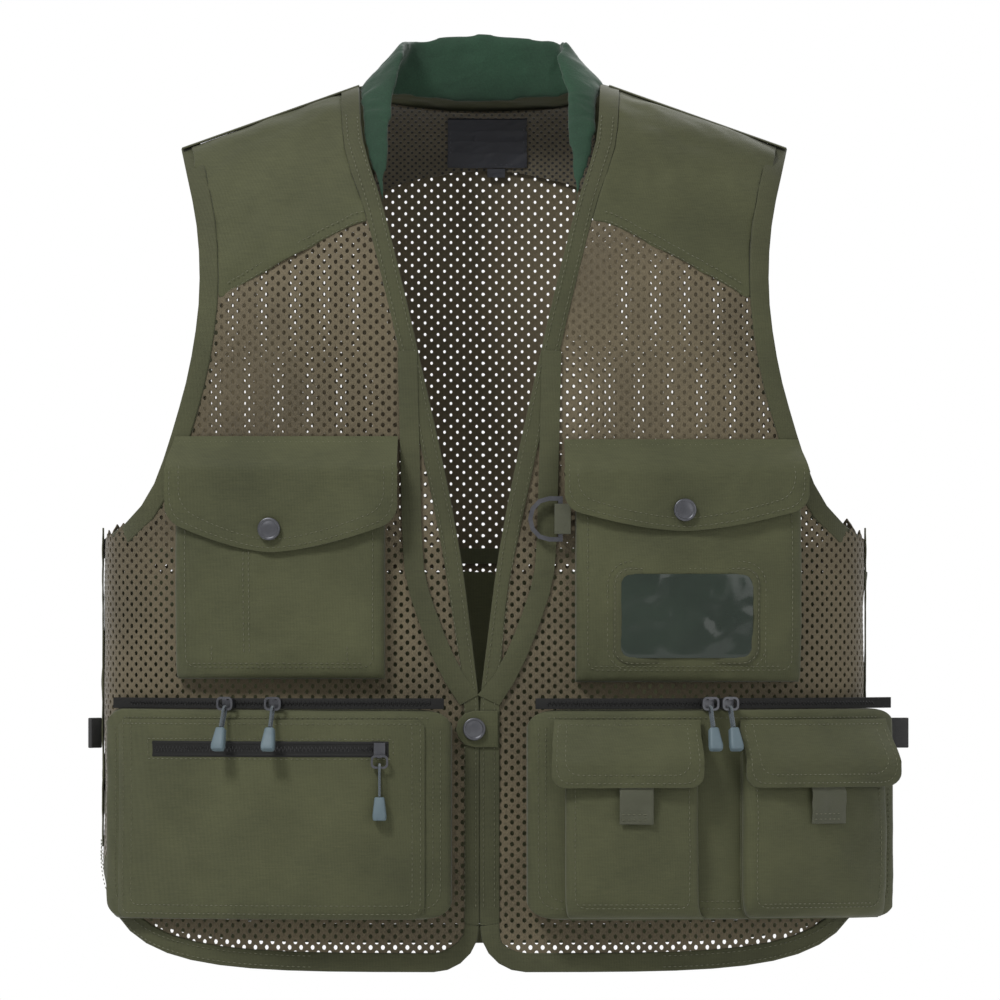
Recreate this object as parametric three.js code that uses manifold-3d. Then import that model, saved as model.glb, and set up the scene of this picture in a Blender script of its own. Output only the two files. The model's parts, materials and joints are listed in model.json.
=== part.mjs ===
// Fishing vest: mesh body, woven yokes, padded collar, snap-flap and zipped pockets.
// Millimetres, +Z up. The wearer faces -Y, so the wearer's left side is +X.
// Heights are counted from the hem; the vest is then lowered to put the origin at the neck.

import * as THREE from 'three';
import { mergeVertices } from 'three/addons/utils/BufferGeometryUtils.js';
import Module from 'manifold-3d';

const wasm = await Module();
wasm.setup();

// ---------- driving dimensions ----------

const BODY_HALF_WIDTH = 252;
const BODY_HALF_DEPTH = 85;
const BODY_SQUARENESS = 2.7;
const NECK_HALF_WIDTH = 80;
const NECK_HEIGHT = 589;
const SHOULDER_HALF_WIDTH = 201;
const SHOULDER_SLOPE = 0.355;
const SHOULDER_DROP = 150;
const SHOULDER_REACH = 190;
const NAPE_DROP = 50;
const NAPE_DIP = 7;
const UNDERARM_HEIGHT = 287;

const CLOSURE_X = -3;
const CLOSURE_HEIGHT = 181;
const HEM_FRONT_HEIGHT = 1.5;
const HEM_SIDE_HEIGHT = 79;
const HEM_BACK_HEIGHT = 17;
const HEM_CURL = 3.3;
const HEM_CORNER_RADIUS = 30;

const FABRIC_THICKNESS = 1.6;
const BINDING_WIDTH = 12;
const BINDING_THICKNESS = 3;
const SEAM_GAP = 0.5;
const LAYER_GAP = 0.5;

const YOKE_NECK_SIDE_HEIGHT = 500;
const YOKE_ARM_SIDE_HEIGHT = 446;
const BACK_YOKE_CENTRE_HEIGHT = 535;
const BACK_YOKE_ARM_HEIGHT = 470;
const WAIST_TAPE_HEIGHT = 266;
const WAIST_TAPE_WIDTH = 10;

const TAPE_THICKNESS = 1.2;
const TAPE_LIFT = (FABRIC_THICKNESS + TAPE_THICKNESS) / 2 + LAYER_GAP;
const FRONT_TAPE_KNOTS = [
  [178, 13],
  [201, 27],
  [248, 45],
  [274, 50],
  [412, 54],
];

const COLLAR_THICKNESS = 6;
const COLLAR_FOOT_GAP = 2.6;
const LINING = { halfWidth: 74, top: 575, centreBottom: 534, rise: 16 };
const COLLAR_TIP_HEIGHT = 518;
const LABEL_SIZE = { width: 53, height: 36 };
const SIZE_TAG = { width: 12, height: 6 };
const LABEL_TOP_HEIGHT = 572;
const LABEL_CENTRE_X = 2;
const LABEL_THICKNESS = 1;

const BAG_WALL = 1.6;
const BAG_ROUND = 0.4;
const BAG_GAP = 0.3;
const BAG_BACK_LIFT = BINDING_THICKNESS / 2 + BAG_GAP;
const FLAP_CURVE = 1.6;
const FLAP_ROOT_GAP = 0.1;
const FLAP_ROOT_LIFT = BINDING_THICKNESS / 2 + FLAP_ROOT_GAP;
const SNAP_RADIUS = 7.5;
const SNAP_ROOM = 2.4;
const CHEST_DEPTH = 16;
const CHEST_PINCH = 0.2;
const CHEST_FLAP_SLOPE = 20;
const CHEST_MOUTH_DROP = 18;
const CHEST_POCKETS = [
  {
    name: 'right_chest',
    sign: -1,
    bag: { fromSide: 51, fromMiddle: 65, bottom: 195 },
    flap: { fromSide: 48, fromMiddle: 57, hinge: 355, edge: 300, dip: 21 },
    snap: { x: 139, height: 294.4 },
  },
  {
    name: 'left_chest',
    sign: 1,
    bag: { fromSide: 45.5, fromMiddle: 60, bottom: 193 },
    flap: { fromSide: 45, fromMiddle: 53, hinge: 353, edge: 308, dip: 15 },
    snap: { x: 130, height: 307 },
    window: { from: 89, to: 173.6, top: 264.7, bottom: 209 },
  },
];

const ZIP_THICKNESS = 1.8;
const ZIP_SETBACK = 3.2;
const CARGO_TOP_HEIGHT = 175;
const CARGO_BOTTOM_HEIGHT = 36;
const CARGO_DEPTH = 30;
const CARGO_EDGE_ROUND = 2;
const CARGO_BACK_LIFT = 3;
const CARGO_ZIP_HEIGHT = 7;
const CARGO_INNER_X = 21;
const CARGO_APEX_IN = 49;
const CARGO_POCKETS = [
  {
    name: 'right_cargo',
    sign: -1,
    shift: 0,
    sideReach: 0,
    sideStandoff: 41.7,
    backTurn: 75,
    cavityEnds: [0.01, 0.92],
    sliders: [{ name: 'outer', x: -169 }, { name: 'inner', x: -138 }],
  },
  {
    name: 'left_cargo',
    sign: 1,
    shift: 7,
    sideReach: 24.5,
    sideStandoff: 21,
    backTurn: 86,
    cavityEnds: [0.01, 0.975],
    sliders: [{ name: 'inner', x: 147.9 }, { name: 'outer', x: 160.7 }],
  },
];
const PATCH = {
  from: 10.5,
  to: 39,
  top: 170,
  bottom: 37,
  zip: { from: 63, fromSide: 33.5, height: 149, width: 9.5, sliderX: 66 + 3 },
};
const SMALL_HINGE_HEIGHT = 168;
const SMALL_MOUTH_DROP = 20;
const SMALL_FLAP_LENGTH = 53;
const SMALL_DEPTH = 13;
const SMALL_PINCH = 0.3;
const SMALL_FLAP_SLOPE = 28;
const SMALL_TAB = { width: 22, length: 16 };
const SMALL_POCKETS = [
  { name: 'left_small_inner', bag: { from: 53.5, to: 140 }, flap: { from: 46, to: 141.2 }, dipAt: 99 },
  { name: 'left_small_outer', bag: { from: 169, to: 262 }, flap: { from: 167.4, to: 265 }, dipAt: 219 },
];

const PULL_TILT = 25;
const PULL_CORD_RADIUS = 0.9;
const PULL_CORD_LENGTH = 13.5;
const PATCH_CORD_LENGTH = 19;
const PULL_GRIP = { length: 15.5, top: 6.5, bottom: 9.4, thickness: 6.4 };
const RING = { width: 11.5, height: 9, wire: 1.4 };
const RING_LIFT = 6.2;
const SLIDER_WIDTH = 7.5;
const RUNNING_GAP = 0.5;

const FRONT_TAB = { length: 27.7, height: 24, level: 162, end: 9.2 };
const D_RING = {
  x: 50.5,
  level: 301,
  lift: 8.2,
  width: 24,
  height: 30,
  wire: 3,
  loopWidth: 20,
  loopWall: 1.2,
};
const SIDE_LOOP = { width: 20, thickness: 3, level: 158.5, behind: 5 };
const SIDE_LOOPS = [
  { name: 'right', sign: -1, swing: -62, length: 14 },
  { name: 'left', sign: 1, swing: 8, length: 27 },
];

// ---------- colours ----------

const OLIVE = new THREE.MeshStandardMaterial({ color: 0x5b5f42, roughness: 0.85 });
const MESH = new THREE.MeshStandardMaterial({ color: 0x6e6248, roughness: 0.9 });
const GREEN = new THREE.MeshStandardMaterial({ color: 0x24502f, roughness: 0.8 });
const NAVY = new THREE.MeshStandardMaterial({ color: 0x23262e, roughness: 0.6 });
const BLACK = new THREE.MeshStandardMaterial({ color: 0x17181a, roughness: 0.6 });
const GUNMETAL = new THREE.MeshStandardMaterial({ color: 0x66666e, roughness: 0.4, metalness: 0.8 });
const TEAL = new THREE.MeshStandardMaterial({ color: 0x7d9496, roughness: 0.5 });
const CORD = new THREE.MeshStandardMaterial({ color: 0x4a6474, roughness: 0.8 });
const FILM = new THREE.MeshStandardMaterial({ color: 0x2c3a30, roughness: 0.2 });

// ---------- the body surface ----------

// A point of the body is named by its angle about the vertical axis (0 at the front
// centre, positive to the wearer's left) and its reach, the way down from the ridge.

function signedPower(value, power) {
  return Math.sign(value) * Math.abs(value) ** power;
}

function bodyAcross(angle) {
  return BODY_HALF_WIDTH * signedPower(Math.sin(angle), 2 / BODY_SQUARENESS);
}

function angleAt(x) {
  const share = Math.min(Math.abs(x) / BODY_HALF_WIDTH, 1);
  return Math.sign(x) * Math.asin(share ** (BODY_SQUARENESS / 2));
}

function ridgeHeight(x) {
  return NECK_HEIGHT - SHOULDER_SLOPE * Math.max(Math.abs(x) - NECK_HALF_WIDTH, 0);
}

function dropAt(angle) {
  if (Math.cos(angle) >= 0) {
    return SHOULDER_DROP;
  }
  const span = SHOULDER_HALF_WIDTH - NECK_HALF_WIDTH;
  const share = THREE.MathUtils.clamp((Math.abs(bodyAcross(angle)) - NECK_HALF_WIDTH) / span, 0, 1);
  return THREE.MathUtils.lerp(NAPE_DROP, SHOULDER_DROP, share);
}

function bodyPoint(angle, reach) {
  const drop = dropAt(angle);
  const turn = Math.min(reach / SHOULDER_REACH, 1) * Math.PI / 2;
  const below = drop * (1 - Math.cos(turn)) + Math.max(reach - SHOULDER_REACH, 0);
  const x = bodyAcross(angle);
  const y = -BODY_HALF_DEPTH * signedPower(Math.cos(angle), 2 / BODY_SQUARENESS) * Math.sin(turn);
  return new THREE.Vector3(x, y, ridgeHeight(x) - below);
}

function reachAt(angle, height) {
  const drop = dropAt(angle);
  const below = Math.max(ridgeHeight(bodyAcross(angle)) - height, 0);
  if (below >= drop) {
    return SHOULDER_REACH + below - drop;
  }
  return SHOULDER_REACH * Math.acos(1 - below / drop) / (Math.PI / 2);
}

function spot(x, height) {
  const angle = angleAt(x);
  return { angle, reach: reachAt(angle, height) };
}

function backSpot(x, height) {
  const angle = -Math.PI - angleAt(x);
  return { angle, reach: reachAt(angle, height) };
}

function bodyFrame({ angle, reach }) {
  const step = 0.01;
  const low = Math.max(reach - 1, 0);
  const around = bodyPoint(angle + step, reach).sub(bodyPoint(angle - step, reach));
  const down = bodyPoint(angle, reach + 1).sub(bodyPoint(angle, low));
  const normal = down.clone().cross(around).normalize();
  return {
    point: bodyPoint(angle, reach),
    normal,
    perAngle: around.divideScalar(2 * step),
    perReach: down.divideScalar(reach + 1 - low),
  };
}

function onBody(place, lift) {
  const { point, normal } = bodyFrame(place);
  return point.addScaledVector(normal, lift);
}

// ---------- paths on the body ----------

function mix(a, b, share) {
  return {
    angle: THREE.MathUtils.lerp(a.angle, b.angle, share),
    reach: THREE.MathUtils.lerp(a.reach, b.reach, share),
  };
}

function between(a, b) {
  return (share) => mix(a, b, share);
}

function along(path) {
  const lengths = [0];
  for (let i = 1; i < path.length; i++) {
    const step = onBody(path[i], 0).distanceTo(onBody(path[i - 1], 0));
    lengths.push(lengths[i - 1] + step);
  }
  return (share) => {
    const wanted = share * lengths.at(-1);
    let i = 1;
    while (i < path.length - 1 && lengths[i] < wanted) {
      i += 1;
    }
    const local = (wanted - lengths[i - 1]) / (lengths[i] - lengths[i - 1]);
    return mix(path[i - 1], path[i], THREE.MathUtils.clamp(local, 0, 1));
  };
}

// Moves a path sideways over the body: positive distances go to the left of its direction.
function beside(path, distance, closed = false) {
  const count = path.length;
  return path.map((place, i) => {
    const before = closed ? path[(i + count - 1) % count] : path[Math.max(i - 1, 0)];
    const after = closed ? path[(i + 1) % count] : path[Math.min(i + 1, count - 1)];
    const heading = onBody(after, 0).sub(onBody(before, 0)).normalize();
    const { normal, perAngle, perReach } = bodyFrame(place);
    const way = normal.clone().cross(heading).multiplyScalar(distance);
    const aa = perAngle.dot(perAngle);
    const ar = perAngle.dot(perReach);
    const rr = perReach.dot(perReach);
    const wa = way.dot(perAngle);
    const wr = way.dot(perReach);
    const scale = aa * rr - ar * ar;
    return {
      angle: place.angle + (wa * rr - wr * ar) / scale,
      reach: Math.max(place.reach + (wr * aa - wa * ar) / scale, 0),
    };
  });
}

// ---------- solids ----------

function solid(points, faces) {
  const index = [];
  for (const face of faces) {
    for (let i = 2; i < face.length; i++) {
      index.push(face[0], face[i - 1], face[i]);
    }
  }
  let volume = 0;
  for (let i = 0; i < index.length; i += 3) {
    const [a, b, c] = [points[index[i]], points[index[i + 1]], points[index[i + 2]]];
    volume += a.dot(b.clone().cross(c));
  }
  if (volume < 0) {
    index.reverse();
  }
  const geometry = new THREE.BufferGeometry().setFromPoints(points);
  geometry.setIndex(index);
  return geometry;
}

// A closed sheet between two grids of points, each a function of two shares.
function slab(columns, rows, outer, inner) {
  const points = [];
  for (const face of [outer, inner]) {
    for (let row = 0; row <= rows; row++) {
      for (let column = 0; column <= columns; column++) {
        points.push(face(column / columns, row / rows));
      }
    }
  }
  const stride = columns + 1;
  const at = (column, row, side) => side * stride * (rows + 1) + row * stride + column;
  const faces = [];
  for (let row = 0; row < rows; row++) {
    for (let column = 0; column < columns; column++) {
      const corners = [[column, row], [column + 1, row], [column + 1, row + 1], [column, row + 1]];
      faces.push(corners.map(([c, r]) => at(c, r, 0)));
      faces.push(corners.reverse().map(([c, r]) => at(c, r, 1)));
    }
    faces.push([at(0, row, 1), at(0, row, 0), at(0, row + 1, 0), at(0, row + 1, 1)]);
    const far = [[row, 0], [row, 1], [row + 1, 1], [row + 1, 0]];
    faces.push(far.map(([r, side]) => at(columns, r, side)));
  }
  for (let column = 0; column < columns; column++) {
    const near = [[column, 1], [column + 1, 1], [column + 1, 0], [column, 0]];
    faces.push(near.map(([c, side]) => at(c, 0, side)));
    const far = [[column, 0], [column + 1, 0], [column + 1, 1], [column, 1]];
    faces.push(far.map(([c, side]) => at(c, rows, side)));
  }
  return solid(points, faces);
}

// A sheet on the body inside four edges, each a function that gives a place on the body.
function panel({ left, right, top, bottom, columns, rows, thickness = FABRIC_THICKNESS, lift = 0 }) {
  const place = (u, v) => {
    const sides = mix(left(v), right(v), u);
    const ends = mix(top(u), bottom(u), v);
    const corners = mix(mix(left(0), right(0), u), mix(left(1), right(1), u), v);
    return {
      angle: sides.angle + ends.angle - corners.angle,
      reach: sides.reach + ends.reach - corners.reach,
    };
  };
  const outer = (u, v) => onBody(place(u, v), lift + thickness / 2);
  const inner = (u, v) => onBody(place(u, v), lift - thickness / 2);
  return slab(columns, rows, outer, inner);
}

// A tape on the body between two distances beside a path; grow swells it into a cutter.
function ribbon(path, { from = 0, to, thickness, lift = 0, grow = 0, closed = false }) {
  const left = beside(path, from, closed);
  const right = beside(path, to, closed);
  const rings = path.map((_, i) => {
    const a = onBody(left[i], lift);
    const b = onBody(right[i], lift);
    const across = b.clone().sub(a).normalize().multiplyScalar(grow);
    const half = thickness / 2 + grow;
    const normalA = bodyFrame(left[i]).normal.multiplyScalar(half);
    const normalB = bodyFrame(right[i]).normal.multiplyScalar(half);
    a.sub(across);
    b.add(across);
    return [
      a.clone().add(normalA),
      b.clone().add(normalB),
      b.clone().sub(normalB),
      a.clone().sub(normalA),
    ];
  });
  if (grow > 0 && !closed) {
    for (const [end, next] of [[0, 1], [rings.length - 1, rings.length - 2]]) {
      const push = rings[end][0].clone().sub(rings[next][0]).normalize().multiplyScalar(grow);
      rings[end].forEach((point) => point.add(push));
    }
  }
  return loft(rings, closed);
}

function loft(rings, closed = false) {
  const sides = rings[0].length;
  const faces = [];
  const count = closed ? rings.length : rings.length - 1;
  for (let i = 0; i < count; i++) {
    const next = (i + 1) % rings.length;
    for (let j = 0; j < sides; j++) {
      const k = (j + 1) % sides;
      faces.push([i * sides + j, i * sides + k, next * sides + k, next * sides + j]);
    }
  }
  if (!closed) {
    const last = (rings.length - 1) * sides;
    faces.push(rings[0].map((_, j) => sides - 1 - j));
    faces.push(rings[0].map((_, j) => last + j));
  }
  return solid(rings.flat(), faces);
}

function toManifold(geometry) {
  let bare = geometry.clone();
  bare.deleteAttribute('normal');
  bare.deleteAttribute('uv');
  bare = mergeVertices(bare, 1e-4);
  const vertProperties = new Float32Array(bare.attributes.position.array);
  const triVerts = new Uint32Array(bare.index.array);
  return new wasm.Manifold(new wasm.Mesh({ numProp: 3, vertProperties, triVerts }));
}

function fromManifold(body) {
  const { numProp, vertProperties, triVerts } = body.getMesh();
  const positions = new Float32Array(vertProperties.length / numProp * 3);
  for (let i = 0; i < positions.length / 3; i++) {
    positions.set(vertProperties.subarray(i * numProp, i * numProp + 3), i * 3);
  }
  const geometry = new THREE.BufferGeometry();
  geometry.setAttribute('position', new THREE.BufferAttribute(positions, 3));
  geometry.setIndex([...triVerts]);
  return geometry;
}

// Cuts the tools away and keeps the main body, so an offcut past a tape falls away.
function cut(geometry, ...tools) {
  const rest = tools.reduce((body, tool) => body.subtract(toManifold(tool)), toManifold(geometry));
  const bodies = rest.decompose().sort((a, b) => b.volume() - a.volume());
  return fromManifold(bodies[0]);
}

function join(...geometries) {
  const [first, ...others] = geometries.map(toManifold);
  return fromManifold(others.reduce((body, other) => body.add(other), first));
}

// A smooth function through knots [argument, value] in rising order.
function smooth(knots) {
  const slope = (i) => {
    const a = knots[Math.max(i - 1, 0)];
    const b = knots[Math.min(i + 1, knots.length - 1)];
    return (b[1] - a[1]) / (b[0] - a[0]);
  };
  return (t) => {
    let i = 0;
    while (i < knots.length - 2 && t > knots[i + 1][0]) {
      i += 1;
    }
    const [t0, v0] = knots[i];
    const [t1, v1] = knots[i + 1];
    const s = THREE.MathUtils.clamp((t - t0) / (t1 - t0), 0, 1);
    const width = t1 - t0;
    const ease = s * s * (3 - 2 * s);
    const rise = slope(i) * width * s * (1 - s) ** 2 - slope(i + 1) * width * s * s * (1 - s);
    return v0 + (v1 - v0) * ease + rise;
  };
}

const vest = new THREE.Group();
vest.position.z = -NECK_HEIGHT;

function add(name, geometry, material, parent = vest) {
  const mesh = new THREE.Mesh(geometry, material);
  mesh.name = name;
  parent.add(mesh);
  return mesh;
}

const SIDES = [{ name: 'right', sign: -1 }, { name: 'left', sign: 1 }];

// ---------- edges of the vest ----------

const opening = smooth([
  [CLOSURE_HEIGHT, 0],
  [UNDERARM_HEIGHT, 14],
  [406, 39],
  [505, 63],
  [551, 77],
  [NECK_HEIGHT, NECK_HALF_WIDTH],
]);

function frontEdge(sign, height) {
  return CLOSURE_X + sign * (opening(Math.max(height, CLOSURE_HEIGHT)) + SEAM_GAP);
}

function frontEdgePath(sign) {
  const steps = 34;
  const path = [];
  const bottom = HEM_FRONT_HEIGHT + HEM_CORNER_RADIUS + 2 * SEAM_GAP;
  const total = SHOULDER_REACH + NECK_HEIGHT - SHOULDER_DROP - bottom;
  for (let i = 0; i <= steps; i++) {
    const reach = SEAM_GAP + (total - SEAM_GAP) * i / steps;
    const height = bodyPoint(0, reach).z;
    const angle = angleAt(frontEdge(sign, height));
    path.push({ angle, reach: i === 0 ? SEAM_GAP : Math.max(reachAt(angle, height), SEAM_GAP) });
  }
  return path;
}

function hemHeight(angle) {
  const turn = Math.abs(Math.atan2(Math.sin(angle), Math.cos(angle)));
  const fromMiddle = Math.min(turn, Math.PI - turn) / (Math.PI / 2);
  const middle = turn < Math.PI / 2 ? HEM_FRONT_HEIGHT : HEM_BACK_HEIGHT;
  return middle + (HEM_SIDE_HEIGHT - middle) * fromMiddle ** HEM_CURL;
}

function hemCorner(sign) {
  const steps = 5;
  const path = [];
  const edge = frontEdge(sign, 0);
  for (let i = 0; i <= steps; i++) {
    const turn = Math.PI / 2 * i / steps;
    const x = edge + sign * HEM_CORNER_RADIUS * (1 - Math.cos(turn));
    const base = hemHeight(angleAt(edge + sign * HEM_CORNER_RADIUS));
    path.push(spot(x, base + HEM_CORNER_RADIUS * (1 - Math.sin(turn))));
  }
  return path;
}

// From the wearer's right front corner, round the back, to the left front corner.
function hemPath() {
  const steps = 52;
  const first = hemCorner(-1);
  const last = hemCorner(1).reverse();
  const start = first.at(-1).angle;
  const end = last[0].angle - 2 * Math.PI;
  const middle = [];
  for (let i = 1; i < steps; i++) {
    const angle = THREE.MathUtils.lerp(start, end, i / steps);
    middle.push({ angle, reach: reachAt(angle, hemHeight(angle)) });
  }
  const turned = last.map(({ angle, reach }) => ({ angle: angle - 2 * Math.PI, reach }));
  return [...first, ...middle, ...turned];
}

// Closed: down the front of the armhole, under the arm and up its back.
function armholePath(sign) {
  const steps = 16;
  const edge = new THREE.SplineCurve([
    new THREE.Vector2(SHOULDER_HALF_WIDTH, 0),
    new THREE.Vector2(SHOULDER_HALF_WIDTH - 10.5, 48),
    new THREE.Vector2(SHOULDER_HALF_WIDTH - 13, 91),
    new THREE.Vector2(SHOULDER_HALF_WIDTH - 9, 130),
    new THREE.Vector2(SHOULDER_HALF_WIDTH, 170),
    new THREE.Vector2(BODY_HALF_WIDTH - 32, 226),
    new THREE.Vector2(BODY_HALF_WIDTH - 8, 255),
    new THREE.Vector2(BODY_HALF_WIDTH, 259),
  ]);
  const tip = ridgeHeight(SHOULDER_HALF_WIDTH);
  const fall = (tip - UNDERARM_HEIGHT) / 259;
  const front = edge.getSpacedPoints(steps).map(({ x, y }, i) => {
    const reached = i === steps ? BODY_HALF_WIDTH : Math.min(x, BODY_HALF_WIDTH);
    return spot(sign * reached, tip - fall * y);
  });
  front[0].reach = 0;
  const back = front.slice(1, -1).reverse().map(({ angle, reach }) => {
    const height = bodyPoint(angle, reach).z;
    const turned = sign * Math.PI - angle;
    return { angle: turned, reach: reachAt(turned, height) };
  });
  return { front, loop: [...front, ...back] };
}

function growOf(options) {
  return { ...options, grow: 0.4 };
}

const binding = { to: BINDING_WIDTH, thickness: BINDING_THICKNESS };

// ---------- body panels ----------

const hem = hemPath();
const hemTape = { ...binding, to: -BINDING_WIDTH };
add('hem_binding', ribbon(hem, hemTape), OLIVE);
const hemCutter = ribbon(hem, growOf(hemTape));

const sideGap = (SEAM_GAP / BODY_HALF_DEPTH) ** (BODY_SQUARENESS / 2);

function cutToHeight(path, height) {
  return path.filter((place) => bodyPoint(place.angle, place.reach).z > height);
}

function hemMiddle(angle) {
  const height = hemHeight(angle) + BINDING_WIDTH / 2;
  return { angle, reach: reachAt(angle, height) };
}

function buildFront({ name, sign }) {
  const edgePath = frontEdgePath(sign);
  const tape = { ...binding, to: sign * BINDING_WIDTH };
  add(`${name}_front_binding`, cut(ribbon(edgePath, tape), hemCutter), OLIVE);
  const edgeCutter = ribbon(edgePath, growOf(tape));

  const armhole = armholePath(sign);
  const armTape = { ...binding, to: -sign * BINDING_WIDTH, closed: true };
  add(`${name}_armhole_binding`, ribbon(armhole.loop, armTape), OLIVE);
  const armCutter = ribbon(armhole.loop, growOf(armTape));

  const innerMiddle = beside(edgePath, sign * BINDING_WIDTH / 2);
  const outerMiddle = beside(armhole.loop, -sign * BINDING_WIDTH / 2, true).slice(0, armhole.front.length);
  outerMiddle[0].reach = SEAM_GAP;
  innerMiddle[0].reach = SEAM_GAP;

  const seam = [
    spot(frontEdge(sign, YOKE_NECK_SIDE_HEIGHT) + sign * BINDING_WIDTH / 2, YOKE_NECK_SIDE_HEIGHT),
    outerMiddle.find(({ angle, reach }) => bodyPoint(angle, reach).z < YOKE_ARM_SIDE_HEIGHT),
  ];
  const yokeInner = [...cutToHeight(innerMiddle, YOKE_NECK_SIDE_HEIGHT), seam[0]];
  const seamHeight = bodyPoint(seam[1].angle, seam[1].reach).z;
  const yokeOuter = [...cutToHeight(outerMiddle, seamHeight), seam[1]];
  const yoke = panel({
    left: along(yokeInner),
    right: along(yokeOuter),
    top: between(yokeInner[0], yokeOuter[0]),
    bottom: between(seam[0], seam[1]),
    columns: 8,
    rows: 8,
  });
  add(`${name}_yoke`, cut(yoke, edgeCutter, armCutter), OLIVE);

  const below = ({ angle, reach }) => ({ angle, reach: reach + 2 * SEAM_GAP });
  const lowFront = spot(
    frontEdge(sign, 0) + sign * BINDING_WIDTH / 2,
    HEM_FRONT_HEIGHT + HEM_CORNER_RADIUS,
  );
  const inner = [below(seam[0])];
  const innerBelow = innerMiddle.filter(({ angle, reach }) => {
    const { z } = bodyPoint(angle, reach);
    return z < YOKE_NECK_SIDE_HEIGHT - 8 && z > HEM_FRONT_HEIGHT + HEM_CORNER_RADIUS + 8;
  });
  inner.push(...innerBelow, lowFront);
  const sideAngle = sign * (Math.PI / 2 - sideGap);
  const outer = [below(seam[1])];
  outer.push(...outerMiddle.filter(({ angle, reach }) => {
    const { z } = bodyPoint(angle, reach);
    return z < seamHeight - 8 && Math.abs(angle) < Math.abs(sideAngle) - 0.05;
  }));
  outer.push({ angle: sideAngle, reach: reachAt(sideAngle, UNDERARM_HEIGHT - BINDING_WIDTH / 2) });
  outer.push(hemMiddle(sideAngle));
  const corner = HEM_CORNER_RADIUS - BINDING_WIDTH / 2;
  const bottom = (u) => {
    const angle = THREE.MathUtils.lerp(lowFront.angle, sideAngle, u ** 1.5);
    const x = bodyAcross(angle);
    const fromEdge = Math.abs(x - frontEdge(sign, 0)) - BINDING_WIDTH / 2;
    const rest = Math.max(corner - fromEdge, 0);
    const rise = corner - Math.sqrt(Math.max(corner * corner - rest * rest, 0));
    return { angle, reach: hemMiddle(angle).reach - (u === 0 ? corner : rise) };
  };
  inner[inner.length - 1] = bottom(0);
  const frontMesh = panel({
    left: along(inner),
    right: along(outer),
    top: between(inner[0], outer[0]),
    bottom,
    columns: 10,
    rows: 14,
  });
  add(`${name}_front_mesh`, cut(frontMesh, edgeCutter, armCutter, hemCutter), MESH);

  const stripe = smooth(FRONT_TAPE_KNOTS);
  const stripePath = [];
  const [[lowest], [highest]] = [FRONT_TAPE_KNOTS[0], FRONT_TAPE_KNOTS.at(-1)];
  for (let i = 0; i <= 16; i++) {
    const height = THREE.MathUtils.lerp(highest, lowest, i / 16);
    stripePath.push(spot(CLOSURE_X + sign * stripe(height), height));
  }
  const onMesh = { to: -sign * BINDING_WIDTH, thickness: TAPE_THICKNESS, lift: TAPE_LIFT };
  add(`${name}_front_tape`, cut(ribbon(stripePath, onMesh), edgeCutter), OLIVE);

  const turn = sign > 0 ? -2 * Math.PI : 0;
  const whole = beside(armhole.loop, -sign * BINDING_WIDTH / 2, true);
  const backHalf = [...whole.slice(armhole.front.length), { ...whole[0] }];
  const tip = backHalf.at(-1);
  tip.angle = sign * Math.PI - tip.angle;
  tip.reach = SEAM_GAP;
  const backMiddle = backHalf.reverse().map(({ angle, reach }) => ({ angle: angle + turn, reach }));
  return { backMiddle, armCutter };
}

const fronts = SIDES.map(buildFront);

// The neck seam dips behind the neck; past the neck the yoke meets the front at the ridge.
function neckSeam(angle) {
  const share = Math.min(Math.abs(bodyAcross(angle)) / NECK_HALF_WIDTH, 1);
  const height = NECK_HEIGHT - NAPE_DIP * (1 - share ** 2);
  return { angle, reach: Math.max(reachAt(angle, height), SEAM_GAP) };
}

function lowered({ angle, reach }, distance) {
  return { angle, reach: reach + distance };
}

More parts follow.
